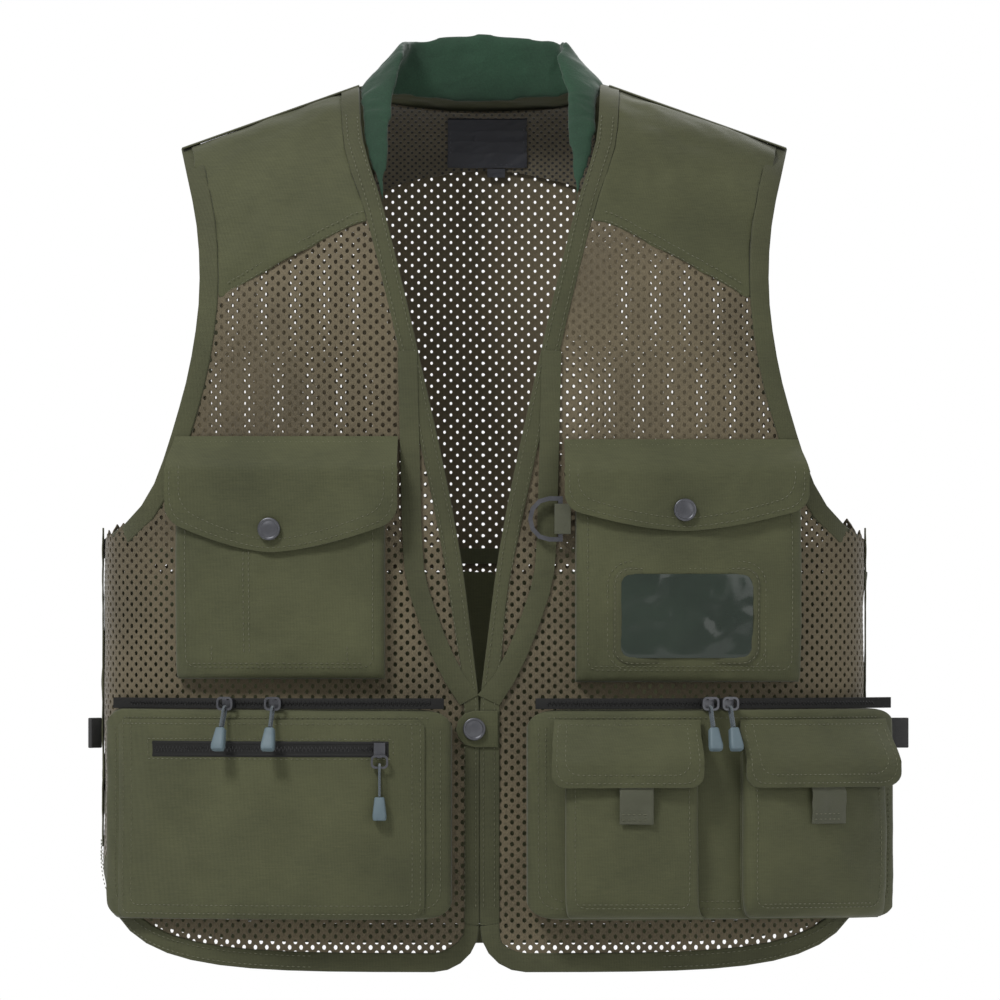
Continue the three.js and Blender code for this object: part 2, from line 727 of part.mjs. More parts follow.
function buildBack() {
  const [right, left] = fronts.map(({ backMiddle }) => backMiddle);
  const cutters = fronts.map(({ armCutter }) => armCutter);
  const heightOf = ({ angle, reach }) => bodyPoint(angle, reach).z;
  const [seamRight, seamLeft] = [right, left].map((path) => {
    return path.find((place) => heightOf(place) < BACK_YOKE_ARM_HEIGHT);
  });
  const seam = (u) => {
    const angle = THREE.MathUtils.lerp(seamRight.angle, seamLeft.angle, u);
    const rise = (BACK_YOKE_CENTRE_HEIGHT - heightOf(seamRight)) * (1 - Math.abs(2 * u - 1) ** 1.4);
    const flat = THREE.MathUtils.lerp(heightOf(seamRight), heightOf(seamLeft), u);
    return { angle, reach: reachAt(angle, flat + rise) };
  };
  const above = (path, end) => [...path.filter((place) => heightOf(place) > heightOf(end) + 1), end];
  const yoke = panel({
    left: along(above(right, seamRight)),
    right: along(above(left, seamLeft)),
    top: (u) => neckSeam(THREE.MathUtils.lerp(right[0].angle, left[0].angle, u)),
    bottom: seam,
    columns: 24,
    rows: 6,
  });
  add('back_yoke', cut(yoke, ...cutters), OLIVE);

  const sides = [-Math.PI / 2 - sideGap, -3 * Math.PI / 2 + sideGap];
  const below = (path, start, angle, bottomHeight) => {
    const high = path.filter((place) => {
      return heightOf(place) < heightOf(start) - 8 && heightOf(place) > UNDERARM_HEIGHT + 6;
    });
    const underArm = { angle, reach: reachAt(angle, UNDERARM_HEIGHT - BINDING_WIDTH / 2) };
    const end = { angle, reach: reachAt(angle, bottomHeight) };
    return [lowered(start, 2 * SEAM_GAP), ...high, underArm, end];
  };
  const meshBottom = WAIST_TAPE_HEIGHT + SEAM_GAP;
  const band = (height) => (u) => {
    const angle = THREE.MathUtils.lerp(...sides, u);
    return { angle, reach: reachAt(angle, height) };
  };
  const rightSide = below(right, seamRight, sides[0], meshBottom);
  const leftSide = below(left, seamLeft, sides[1], meshBottom);
  const backMesh = panel({
    left: along(rightSide),
    right: along(leftSide),
    top: (u) => lowered(seam(u), 2 * SEAM_GAP),
    bottom: band(meshBottom),
    columns: 24,
    rows: 8,
  });
  add('back_mesh_panel', cut(backMesh, ...cutters), MESH);

  const hemLine = (u) => hemMiddle(THREE.MathUtils.lerp(...sides, u));
  const lowTop = band(WAIST_TAPE_HEIGHT - SEAM_GAP);
  const lower = panel({
    left: between(lowTop(0), hemLine(0)),
    right: between(lowTop(1), hemLine(1)),
    top: lowTop,
    bottom: hemLine,
    columns: 24,
    rows: 5,
  });
  add('back_lower_panel', cut(lower, hemCutter), OLIVE);

  const tape = [];
  for (let i = 4; i <= 20; i++) {
    tape.push(band(WAIST_TAPE_HEIGHT + WAIST_TAPE_WIDTH / 2)(i / 24));
  }
  const inside = { to: -WAIST_TAPE_WIDTH, thickness: TAPE_THICKNESS, lift: -TAPE_LIFT - LAYER_GAP };
  add('back_waist_tape', ribbon(tape, inside), OLIVE);
}

// A piece that lies on the body, between two distances from the middle and two heights.
function bodySheet({ from, to, top, bottom, place = spot, columns, rows, thickness, lift }) {
  const ends = (height) => (u) => place(THREE.MathUtils.lerp(from, to, u), height(u));
  const upper = ends(top);
  const under = ends(bottom);
  return panel({
    left: between(upper(0), under(0)),
    right: between(upper(1), under(1)),
    top: upper,
    bottom: under,
    columns,
    rows,
    thickness,
    lift,
  });
}

function buildNeckInside() {
  const lift = -TAPE_LIFT - 2 * LAYER_GAP;
  const lining = bodySheet({
    from: -LINING.halfWidth,
    to: LINING.halfWidth,
    top: (u) => LINING.top + NAPE_DIP * (2 * u - 1) ** 2,
    bottom: (u) => LINING.centreBottom - LINING.rise * (2 * u - 1) ** 2,
    place: backSpot,
    columns: 12,
    rows: 5,
    thickness: TAPE_THICKNESS,
    lift,
  });
  add('back_neck_lining', lining, MESH);

  const labelLift = lift - TAPE_THICKNESS - LAYER_GAP;
  const middle = LABEL_CENTRE_X;
  const label = bodySheet({
    from: middle - LABEL_SIZE.width / 2,
    to: middle + LABEL_SIZE.width / 2,
    top: () => LABEL_TOP_HEIGHT,
    bottom: () => LABEL_TOP_HEIGHT - LABEL_SIZE.height,
    place: backSpot,
    columns: 5,
    rows: 4,
    thickness: LABEL_THICKNESS,
    lift: labelLift,
  });
  add('neck_label', label, NAVY);
  const tagTop = LABEL_TOP_HEIGHT - LABEL_SIZE.height - SEAM_GAP;
  const tag = bodySheet({
    from: middle,
    to: middle + SIZE_TAG.width,
    top: () => tagTop,
    bottom: () => tagTop - SIZE_TAG.height,
    place: backSpot,
    columns: 2,
    rows: 1,
    thickness: LABEL_THICKNESS,
    lift: labelLift,
  });
  add('size_tag', tag, NAVY);
}

// The padded collar stands on the neck seam, highest behind and fading out at its tips.
function buildCollar() {
  const leanIn = smooth([[0, 0], [0.3, 12], [0.5, 27], [0.68, 25], [0.86, 20], [1, 1]]);
  const leanForward = smooth([[0, -8], [0.5, 6], [0.7, 9], [1, 1]]);
  const leanUp = smooth([[0, 44], [0.5, 31], [0.68, 20], [0.86, 8], [1, 2]]);
  const seamPlace = (share, sign) => {
    const back = Math.min(share / 0.5, 1);
    if (share <= 0.5) {
      return neckSeam(-Math.PI - sign * angleAt(NECK_HALF_WIDTH) * back);
    }
    const drop = ((share - 0.5) / 0.5) ** 1.6;
    const height = THREE.MathUtils.lerp(NECK_HEIGHT, COLLAR_TIP_HEIGHT, drop);
    return spot(frontEdge(sign, height) - sign * (LAYER_GAP + BINDING_THICKNESS), height);
  };
  const at = (u, v, side) => {
    const sign = u < 0.5 ? -1 : 1;
    const share = Math.abs(2 * u - 1);
    const foot = onBody(seamPlace(share, sign), 0);
    const lean = new THREE.Vector3(-sign * leanIn(share), leanForward(share), leanUp(share));
    const step = 0.02;
    const ahead = onBody(seamPlace(Math.min(share + step, 1), sign), 0);
    const behind = onBody(seamPlace(Math.max(share - step, 0), sign), 0);
    const run = ahead.sub(behind).multiplyScalar(sign);
    if (share < step) {
      run.set(1, 0, 0);
    }
    const out = lean.clone().cross(run).normalize();
    const start = COLLAR_FOOT_GAP / lean.length();
    const fat = COLLAR_THICKNESS / 2 * (1 - 0.6 * share ** 3);
    return foot.addScaledVector(lean, start + (1 - start) * v).addScaledVector(out, side * fat);
  };
  add('collar', slab(28, 3, (u, v) => at(u, v, 1), (u, v) => at(u, v, -1)), GREEN);
}

buildBack();
buildNeckInside();
buildCollar();

// ---------- pockets ----------

// A bag with an open mouth. surface(x, height, lift) gives a point over what it is sewn to.
function buildBag(name, surface, { from, to, mouth, bottom, depth, pinch }) {
  const span = to - from;
  const fall = mouth - bottom;
  const deep = (u, v) => {
    const round = 1 - BAG_ROUND * (2 * u - 1) ** 4;
    const mouthPinch = 1 - pinch * Math.max(1 - 3 * v, 0);
    const foot = 1 - BAG_ROUND * Math.max(2 * v - 1, 0) ** 4;
    return depth * round * mouthPinch * foot;
  };
  const place = (u, v, lift) => surface(from + span * u, mouth - fall * v, lift);
  const outer = slab(
    7,
    6,
    (u, v) => place(u, v, BAG_BACK_LIFT + deep(u, v)),
    (u, v) => place(u, v, BAG_BACK_LIFT),
  );
  const side = BAG_WALL / Math.abs(span);
  const floor = BAG_WALL / fall;
  const over = -0.03;
  const within = (u, v) => [side + (1 - 2 * side) * u, over + (1 - floor - over) * v];
  const cavity = slab(
    7,
    5,
    (u, v) => place(...within(u, v), BAG_BACK_LIFT - BAG_WALL + deep(...within(u, Math.max(v, 0)))),
    (u, v) => place(...within(u, v), BAG_BACK_LIFT + BAG_WALL),
  );
  add(`${name}_bag`, cut(outer, cavity), OLIVE);
  return { place, deep };
}

// A flap sewn on along its top; its lower edge dips to a point at dipAt.
function buildFlap(name, surface, { from, to, hinge, edge, dip, dipAt, lift, slope, tab }, columns = 12) {
  const reach = (u) => {
    const x = from + (to - from) * u;
    const away = Math.abs(x - dipAt) / Math.abs(x < dipAt ? dipAt - from : to - dipAt);
    const onTab = tab && Math.abs(x - dipAt) < tab.width / 2;
    const curve = edge - dip * (1 - Math.min(away, 1) ** FLAP_CURVE);
    return hinge - (onTab ? edge - dip - tab.length : curve);
  };
  const rise = (v, fall) => FLAP_ROOT_LIFT + (lift - FLAP_ROOT_LIFT) * Math.min(v * fall / slope, 1);
  const place = (u, v, over) => {
    const fall = reach(u);
    return surface(from + (to - from) * u, hinge - fall * v, rise(v, fall) + over);
  };
  const flap = slab(columns, 6, (u, v) => place(u, v, FABRIC_THICKNESS), (u, v) => place(u, v, 0));
  return add(`${name}_flap`, flap, OLIVE);
}

function lay(mesh, point, normal) {
  mesh.position.copy(point);
  mesh.quaternion.setFromUnitVectors(new THREE.Vector3(0, 1, 0), normal);
}

function disc(radius, height, dome) {
  const profile = [
    new THREE.Vector2(0, 0),
    new THREE.Vector2(radius, 0),
    new THREE.Vector2(radius, height * 0.55),
    new THREE.Vector2(radius * 0.82, height),
    new THREE.Vector2(0, height + dome),
  ];
  return new THREE.LatheGeometry(profile, 16);
}

function onChest(x, height, lift) {
  return onBody(spot(x, height), lift);
}

function buildChestPocket({ name, sign, bag, flap, snap, window }) {
  const outer = BODY_HALF_WIDTH - bag.fromSide;
  const { place, deep } = buildBag(name, onChest, {
    from: sign * outer,
    to: sign * bag.fromMiddle,
    mouth: flap.hinge - CHEST_MOUTH_DROP,
    bottom: bag.bottom,
    depth: CHEST_DEPTH,
    pinch: CHEST_PINCH,
  });
  const over = BAG_BACK_LIFT + CHEST_DEPTH + SNAP_ROOM;
  buildFlap(name, onChest, {
    ...flap,
    from: Math.min(sign * (BODY_HALF_WIDTH - flap.fromSide), sign * flap.fromMiddle),
    to: Math.max(sign * (BODY_HALF_WIDTH - flap.fromSide), sign * flap.fromMiddle),
    dipAt: sign * snap.x,
    lift: over,
    slope: CHEST_FLAP_SLOPE,
  });
  const { normal } = bodyFrame(spot(sign * snap.x, snap.height));
  const cap = add(`${name}_snap_cap`, disc(SNAP_RADIUS, 1.6, 0.5), GUNMETAL);
  lay(cap, onChest(sign * snap.x, snap.height, over + FABRIC_THICKNESS + RUNNING_GAP), normal);
  const stud = add(`${name}_snap_stud`, disc(SNAP_RADIUS * 0.7, 0.9, 0.1), GUNMETAL);
  lay(stud, onChest(sign * snap.x, snap.height, BAG_BACK_LIFT + CHEST_DEPTH + RUNNING_GAP / 2), normal);
  if (window) {
    const film = (u, v, lift) => {
      const x = sign * THREE.MathUtils.lerp(window.from, window.to, u);
      const height = THREE.MathUtils.lerp(window.top, window.bottom, v);
      const across = (x - sign * outer) / (sign * (bag.fromMiddle - outer));
      const down = (flap.hinge - CHEST_MOUTH_DROP - height) / (flap.hinge - CHEST_MOUTH_DROP - bag.bottom);
      return place(across, down, BAG_BACK_LIFT + deep(across, down) + lift);
    };
    const sheet = slab(6, 3, (u, v) => film(u, v, 2 * LAYER_GAP), (u, v) => film(u, v, LAYER_GAP));
    add(`${name}_window`, sheet, FILM);
  }
}

CHEST_POCKETS.forEach(buildChestPocket);

// ---------- cargo pockets ----------

// A cargo pocket's front is an arc about an upright axis, so its zip sliders run true.
function cargoArc({ sign, sideReach, sideStandoff }) {
  const end = BODY_HALF_WIDTH + sideReach;
  const middle = CARGO_INNER_X + CARGO_APEX_IN;
  const apex = BODY_HALF_DEPTH + CARGO_DEPTH + 2 * LAYER_GAP;
  const across = end - middle;
  const fall = apex - sideStandoff;
  const radius = (across ** 2 + fall ** 2) / (2 * fall);
  const centre = { x: sign * middle, y: radius - apex };
  const turnAt = (x) => Math.asin((x - centre.x) / radius);
  return { radius, centre, turnAt };
}

function onArc({ centre, radius }, turn, lift, height) {
  const r = radius + lift;
  return new THREE.Vector3(centre.x + r * Math.sin(turn), centre.y - r * Math.cos(turn), height);
}

function plate(shape, thickness, holes = []) {
  shape.holes.push(...holes);
  const geometry = new THREE.ExtrudeGeometry(shape, {
    depth: thickness,
    bevelEnabled: false,
    curveSegments: 3,
  });
  return geometry.rotateX(Math.PI / 2);
}

function roundedOutline(width, height, radius, Kind = THREE.Shape) {
  const [x, y] = [width / 2, height / 2];
  const outline = new Kind();
  outline.moveTo(-x + radius, -y);
  outline.lineTo(x - radius, -y);
  outline.absarc(x - radius, -y + radius, radius, -Math.PI / 2, 0);
  outline.lineTo(x, y - radius);
  outline.absarc(x - radius, y - radius, radius, 0, Math.PI / 2);
  outline.lineTo(-x + radius, y);
  outline.absarc(-x + radius, y - radius, radius, Math.PI / 2, Math.PI);
  outline.lineTo(-x, -y + radius);
  outline.absarc(-x + radius, -y + radius, radius, Math.PI, 1.5 * Math.PI);
  return outline;
}

// A slider with its ring: the ring's lower wire is where the pull hangs. Local -Y is outward.
function sliderGeometry({ low, high, bodyHeight, ringTop }) {
  const wire = RING.wire;
  const ring = plate(
    roundedOutline(RING.width, RING.height, 3),
    wire,
    [roundedOutline(RING.width - 2 * wire, RING.height - 2 * wire, 2, THREE.Path)],
  );
  ring.translate(0, -(RING_LIFT - wire / 2), ringTop - RING.height / 2);
  const body = new THREE.BoxGeometry(SLIDER_WIDTH, high - low, bodyHeight);
  body.translate(0, -(low + high) / 2, 0);
  const neckHeight = 2;
  const neck = new THREE.BoxGeometry(3, RING_LIFT - high + 1.5, neckHeight);
  neck.translate(0, -(high + RING_LIFT - 0.5) / 2, ringTop - neckHeight / 2);
  return join(body, neck, ring);
}

function pullCordGeometry(length) {
  const loop = RING.wire / 2 + RUNNING_GAP + PULL_CORD_RADIUS;
  const route = new THREE.CatmullRomCurve3([
    new THREE.Vector3(0, -loop, -length),
    new THREE.Vector3(0, -loop, -length / 2),
    new THREE.Vector3(0, -loop, 0),
    new THREE.Vector3(0, -loop * Math.SQRT1_2, loop * Math.SQRT1_2),
    new THREE.Vector3(0, 0, loop),
    new THREE.Vector3(0, loop * Math.SQRT1_2, loop * Math.SQRT1_2),
    new THREE.Vector3(0, loop, 0),
    new THREE.Vector3(0, loop, -length / 2),
    new THREE.Vector3(0, loop, -length),
  ], false, 'chordal');
  const section = new THREE.Shape();
  section.absarc(0, 0, PULL_CORD_RADIUS, 0, 2 * Math.PI);
  return new THREE.ExtrudeGeometry(section, { extrudePath: route, steps: 18, curveSegments: 3 });
}

function gripGeometry(length) {
  const ring = (width, thickness, z) => {
    const [x, y] = [width / 2, thickness / 2];
    const chamfer = 1.2;
    return [
      [x - chamfer, -y], [x, -y + chamfer], [x, y - chamfer], [x - chamfer, y],
      [-x + chamfer, y], [-x, y - chamfer], [-x, -y + chamfer], [-x + chamfer, -y],
    ].map(([px, py]) => new THREE.Vector3(px, py, z));
  };
  const top = -length - SEAM_GAP;
  const { bottom } = PULL_GRIP;
  return loft([
    ring(PULL_GRIP.top, PULL_GRIP.thickness, top),
    ring(bottom, PULL_GRIP.thickness, top - PULL_GRIP.length * 0.8),
    ring(bottom - 0.8, PULL_GRIP.thickness - 0.8, top - PULL_GRIP.length),
  ]);
}

function addSlider(name, arc, { x, height, low, high, bodyHeight, ringTop, tilt, cordLength }) {
  const carriage = new THREE.Group();
  carriage.rotation.z = arc.turnAt(x);
  carriage.position.copy(onArc(arc, carriage.rotation.z, 0, height));
  vest.add(carriage);
  add(`${name}_slider`, sliderGeometry({ low, high, bodyHeight, ringTop }), BLACK, carriage);
  const pull = new THREE.Group();
  pull.position.set(0, -RING_LIFT, ringTop - RING.height + RING.wire / 2);
  pull.rotation.x = -THREE.MathUtils.degToRad(tilt);
  carriage.add(pull);
  add(`${name}_pull_cord`, pullCordGeometry(cordLength), CORD, pull);
  add(`${name}_pull_grip`, gripGeometry(cordLength), TEAL, pull);
}

function buildCargoPocket(pocket) {
  const { name, sign, backTurn, cavityEnds, sliders } = pocket;
  const arc = cargoArc(pocket);
  const innerX = sign * CARGO_INNER_X + pocket.shift;
  const outerX = sign * (BODY_HALF_WIDTH + pocket.sideReach);
  const turns = [arc.turnAt(innerX), arc.turnAt(outerX)];
  const backTurns = [angleAt(innerX), sign * THREE.MathUtils.degToRad(backTurn)];
  const turn = (u) => THREE.MathUtils.lerp(...turns, u);
  const heightAt = (v) => THREE.MathUtils.lerp(CARGO_TOP_HEIGHT, CARGO_BOTTOM_HEIGHT, v);
  const onBack = (u, lift, height) => {
    const angle = THREE.MathUtils.lerp(...backTurns, u);
    return onBody({ angle, reach: reachAt(angle, height) }, lift);
  };
  const body = slab(
    16,
    4,
    (u, v) => onArc(arc, turn(u), v === 0 || v === 1 ? -CARGO_EDGE_ROUND : 0, heightAt(v)),
    (u, v) => onBack(u, CARGO_BACK_LIFT, heightAt(v)),
  );
  const within = (u) => THREE.MathUtils.lerp(...cavityEnds, u);
  const depthAt = (v) => THREE.MathUtils.lerp(CARGO_TOP_HEIGHT + 1, CARGO_BOTTOM_HEIGHT + BAG_WALL, v);
  const cavity = slab(
    16,
    1,
    (u, v) => onArc(arc, turn(within(u)), -CARGO_EDGE_ROUND - BAG_WALL, depthAt(v)),
    (u, v) => onBack(within(u), CARGO_BACK_LIFT + BAG_WALL, depthAt(v)),
  );
  add(`${name}_pocket`, cut(body, cavity), OLIVE);

  const zipTurn = (u) => turn(THREE.MathUtils.lerp(0.02, 0.98, u));
  const zipHeight = (v) => CARGO_TOP_HEIGHT + SEAM_GAP + CARGO_ZIP_HEIGHT * (1 - v);
  const zip = slab(
    24,
    1,
    (u, v) => onArc(arc, zipTurn(u), -ZIP_SETBACK, zipHeight(v)),
    (u, v) => onArc(arc, zipTurn(u), -ZIP_SETBACK - ZIP_THICKNESS, zipHeight(v)),
  );
  add(`${name}_zip`, zip, BLACK);
  for (const slider of sliders) {
    addSlider(`${name}_${slider.name}`, arc, {
      x: slider.x,
      height: CARGO_TOP_HEIGHT + SEAM_GAP + CARGO_ZIP_HEIGHT / 2,
      low: -ZIP_SETBACK + RUNNING_GAP,
      high: 1.8,
      bodyHeight: CARGO_ZIP_HEIGHT - 2 * SEAM_GAP,
      ringTop: 4.5,
      tilt: PULL_TILT,
      cordLength: PULL_CORD_LENGTH,
    });
  }
  return arc;
}

const [rightArc, leftArc] = CARGO_POCKETS.map(buildCargoPocket);

function buildPatchPocket(arc) {
  const { from, to, top, bottom, zip } = PATCH;
  const turn = (x) => arc.turnAt(-x);
  const sheet = (box, columns, low, high) => slab(
    columns,
    1,
    (u, v) => onArc(arc, turn(THREE.MathUtils.lerp(box.from, box.to, u)), high,
      THREE.MathUtils.lerp(box.top, box.bottom, v)),
    (u, v) => onArc(arc, turn(THREE.MathUtils.lerp(box.from, box.to, u)), low,
      THREE.MathUtils.lerp(box.top, box.bottom, v)),
  );
  const gap = SEAM_GAP;
  const edgeFrom = BODY_HALF_WIDTH - from;
  const patch = sheet({ from: to, to: edgeFrom, top, bottom }, 20, gap, gap + FABRIC_THICKNESS);
  const window = {
    from: zip.from,
    to: BODY_HALF_WIDTH - zip.fromSide,
    top: zip.height + zip.width / 2,
    bottom: zip.height - zip.width / 2,
  };
  const cavity = sheet(window, 16, 0, 2 * FABRIC_THICKNESS);
  add('right_patch_pocket', cut(patch, cavity), OLIVE);
  const tape = {
    from: window.from + gap,
    to: window.to - gap,
    top: window.top - gap,
    bottom: window.bottom + gap,
  };
  add('right_patch_zip', sheet(tape, 18, gap, gap + TAPE_THICKNESS), BLACK);
  addSlider('right_patch', arc, {
    x: -zip.sliderX,
    height: zip.height,
    low: gap + FABRIC_THICKNESS + RUNNING_GAP,
    high: 4.8,
    bodyHeight: zip.width - 2 * gap,
    ringTop: -zip.width / 2 + 1,
    tilt: 0,
    cordLength: PATCH_CORD_LENGTH,
  });
}

buildPatchPocket(rightArc);

function buildSmallPocket({ name, flap, bag, dipAt }) {
  const surface = (x, height, lift) => onArc(leftArc, leftArc.turnAt(x), lift, height);
  const over = BAG_BACK_LIFT + SMALL_DEPTH + 2 * LAYER_GAP;
  buildBag(name, surface, {
    ...bag,
    mouth: SMALL_HINGE_HEIGHT - SMALL_MOUTH_DROP,
    bottom: CARGO_BOTTOM_HEIGHT + 1,
    depth: SMALL_DEPTH,
    pinch: SMALL_PINCH,
  });
  buildFlap(name, surface, {
    ...flap,
    hinge: SMALL_HINGE_HEIGHT,
    edge: SMALL_HINGE_HEIGHT - SMALL_FLAP_LENGTH + 10,
    dip: 10,
    dipAt,
    lift: over,
    slope: SMALL_FLAP_SLOPE,
    tab: SMALL_TAB,
  }, 14);
}

SMALL_POCKETS.forEach(buildSmallPocket);

// ---------- closure, ring and loops ----------

function buildFrontTab() {
  const { length, height, level, end } = FRONT_TAB;
  const tab = new THREE.Shape();
  const half = height / 2;
  tab.moveTo(end, level - half);
  tab.lineTo(end, level + half);
  tab.lineTo(end - length + half, level + half);
  tab.absarc(end - length + half, level, half, Math.PI / 2, 1.5 * Math.PI);
  const face = -(BODY_HALF_DEPTH + BINDING_THICKNESS / 2 + LAYER_GAP);
  const strip = plate(tab, FABRIC_THICKNESS);
  strip.translate(0, face, 0);
  add('front_tab', strip, OLIVE);
  const cap = add('front_tab_snap_cap', disc(SNAP_RADIUS, 1.6, 0.5), GUNMETAL);
  const outward = new THREE.Vector3(0, -1, 0);
  const centre = new THREE.Vector3(end - length + half, face - FABRIC_THICKNESS - RUNNING_GAP, level);
  lay(cap, centre, outward);
}

function buildRing() {
  const { x, level, lift, width, height, wire } = D_RING;
  const y = -(BODY_HALF_DEPTH + lift);
  const outline = (inset, Kind) => {
    const path = new Kind();
    const tall = height / 2 - inset;
    const round = (height / 2 - 1) - inset;
    path.moveTo(wire / 2 - inset, -tall);
    path.lineTo(wire / 2 - inset, tall);
    path.absellipse(-width + height / 2 + wire / 2, 0, round, tall, Math.PI / 2, 1.5 * Math.PI);
    return path;
  };
  const ring = plate(outline(0, THREE.Shape), wire, [outline(wire, THREE.Path)]);
  ring.translate(x, y + wire / 2, level);
  add('d_ring', ring, GUNMETAL);

  const bore = wire * Math.SQRT1_2 + RUNNING_GAP;
  const { loopWidth, loopWall } = D_RING;
  const thick = 2 * (bore + loopWall);
  const sleeve = new THREE.BoxGeometry(thick + 3, thick, loopWidth);
  sleeve.translate(1.5, 0, 0);
  const hole = new THREE.CylinderGeometry(bore, bore, loopWidth + 2, 16).rotateX(Math.PI / 2);
  const loop = cut(sleeve, hole);
  loop.translate(x, y, level);
  add('d_ring_loop', loop, OLIVE);
}

function buildSideLoops() {
  for (const { name, sign, swing, length } of SIDE_LOOPS) {
    const loop = new THREE.BoxGeometry(length, SIDE_LOOP.thickness, SIDE_LOOP.width);
    loop.translate(sign * length / 2, 0, 0);
    const mesh = add(`${name}_side_loop`, loop, BLACK);
    const start = BODY_HALF_WIDTH + FABRIC_THICKNESS / 2 + SIDE_LOOP.thickness;
    mesh.position.set(sign * start, SIDE_LOOP.behind, SIDE_LOOP.level);
    mesh.rotation.z = sign * THREE.MathUtils.degToRad(swing);
  }
}

buildFrontTab();
buildRing();
buildSideLoops();

export default vest;
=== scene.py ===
import json
import math

import bpy
import numpy as np
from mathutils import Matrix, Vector
from mathutils.bvhtree import BVHTree


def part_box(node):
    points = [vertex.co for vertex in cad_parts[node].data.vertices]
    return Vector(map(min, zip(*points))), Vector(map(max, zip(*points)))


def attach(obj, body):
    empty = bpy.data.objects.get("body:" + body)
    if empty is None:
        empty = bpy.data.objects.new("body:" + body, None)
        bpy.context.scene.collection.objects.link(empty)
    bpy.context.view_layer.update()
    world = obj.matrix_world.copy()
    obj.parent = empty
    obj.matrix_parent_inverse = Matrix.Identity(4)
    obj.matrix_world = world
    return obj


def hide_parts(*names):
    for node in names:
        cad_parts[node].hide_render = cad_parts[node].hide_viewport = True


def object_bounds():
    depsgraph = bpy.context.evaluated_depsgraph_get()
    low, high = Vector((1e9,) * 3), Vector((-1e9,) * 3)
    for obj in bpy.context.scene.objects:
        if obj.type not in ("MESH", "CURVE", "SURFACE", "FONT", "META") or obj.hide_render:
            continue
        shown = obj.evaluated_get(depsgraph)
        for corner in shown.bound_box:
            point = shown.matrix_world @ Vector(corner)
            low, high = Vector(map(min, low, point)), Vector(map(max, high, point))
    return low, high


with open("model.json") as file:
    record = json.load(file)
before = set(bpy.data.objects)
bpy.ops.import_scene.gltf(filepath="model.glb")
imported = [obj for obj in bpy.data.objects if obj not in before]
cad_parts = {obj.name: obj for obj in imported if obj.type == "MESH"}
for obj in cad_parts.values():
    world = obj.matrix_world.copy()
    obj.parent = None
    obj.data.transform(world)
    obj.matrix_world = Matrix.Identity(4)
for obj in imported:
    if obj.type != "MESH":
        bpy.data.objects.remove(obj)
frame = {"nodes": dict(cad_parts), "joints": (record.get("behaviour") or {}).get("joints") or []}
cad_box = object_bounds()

# ---------- camera, floor and lights ----------
# The vest is seen square on from in front, through a long lens, at the height of its middle.
# It hangs clear of a round pale floor against plain white, lit by three soft lights and a dim room
# that looks brighter than the light it casts.

VIEW_HEIGHT = 0.66
LENS = 700
SENSOR = 36
VIEW_DEPTH = 60
AIM_ASIDE = 0.001
AIM_IN = 0.02
AIM_HEIGHT = 0.312
FLOOR_RADIUS = 1.4
FLOOR_DROP = 0.07
PALE = (0.86, 0.86, 0.86, 1)
ROOM_LIGHT = 0.5
BACKDROP_LIGHT = 1.0
low, high = cad_box
middle = (Vector(low) + Vector(high)) / 2

camera_data = bpy.data.cameras.new("camera")
camera_data.lens = LENS
camera_data.sensor_width = SENSOR
camera_data.clip_end = VIEW_DEPTH
camera = bpy.data.objects.new("camera", camera_data)
bpy.context.collection.objects.link(camera)
distance = VIEW_HEIGHT * LENS / SENSOR
camera.location = (middle.x + AIM_ASIDE, low[1] + AIM_IN - distance, low[2] + AIM_HEIGHT)
camera.rotation_euler = (math.pi / 2, 0, 0)
bpy.context.scene.camera = camera
bpy.context.scene.view_settings.view_transform = "Standard"

bpy.ops.object.select_all(action="DESELECT")
bpy.ops.mesh.primitive_circle_add(vertices=96, radius=FLOOR_RADIUS, fill_type="NGON",
                                  location=(0, 0, low[2] - FLOOR_DROP))
floor = bpy.context.object
floor.name = "floor"
pale = bpy.data.materials.new("pale_paint")
pale.use_nodes = True
paint = pale.node_tree.nodes["Principled BSDF"].inputs
paint["Base Color"].default_value = PALE
paint["Roughness"].default_value = 0.8
floor.data.materials.append(pale)

world = bpy.data.worlds.new("studio")
world.use_nodes = True
glow = world.node_tree.nodes["Background"]
seen = world.node_tree.nodes.new("ShaderNodeLightPath")
brightness = world.node_tree.nodes.new("ShaderNodeMapRange")
brightness.inputs["To Min"].default_value = ROOM_LIGHT
brightness.inputs["To Max"].default_value = BACKDROP_LIGHT
world.node_tree.links.new(seen.outputs["Is Camera Ray"], brightness.inputs["Value"])
world.node_tree.links.new(brightness.outputs["Result"], glow.inputs["Strength"])
glow.inputs["Color"].default_value = (1, 1, 1, 1)
bpy.context.scene.world = world


def softbox(name, place, size, watts):
    light = bpy.data.lights.new(name, "AREA")
    light.size = size
    light.energy = watts
    lamp = bpy.data.objects.new(name, light)
    lamp.location = place
    lamp.rotation_euler = (middle - Vector(place)).to_track_quat("-Z", "Y").to_euler()
    bpy.context.collection.objects.link(lamp)


softbox("key", (-1.3, -1.9, 1.9), 0.7, 66)
softbox("fill", (1.8, -2.0, 0.3), 1.6, 9)
softbox("rim", (0.6, 2.0, 1.4), 1.2, 30)


# ---------- knitted body: both fronts and the upper back ----------
# An open warp-knit polyester: taupe strands with a little glitter round rows of small holes.
# Each panel is one sheet, knitted hole by hole over the wearer's shape, and its raw edges
# run in under the yokes, the waist seam and the folded bindings.

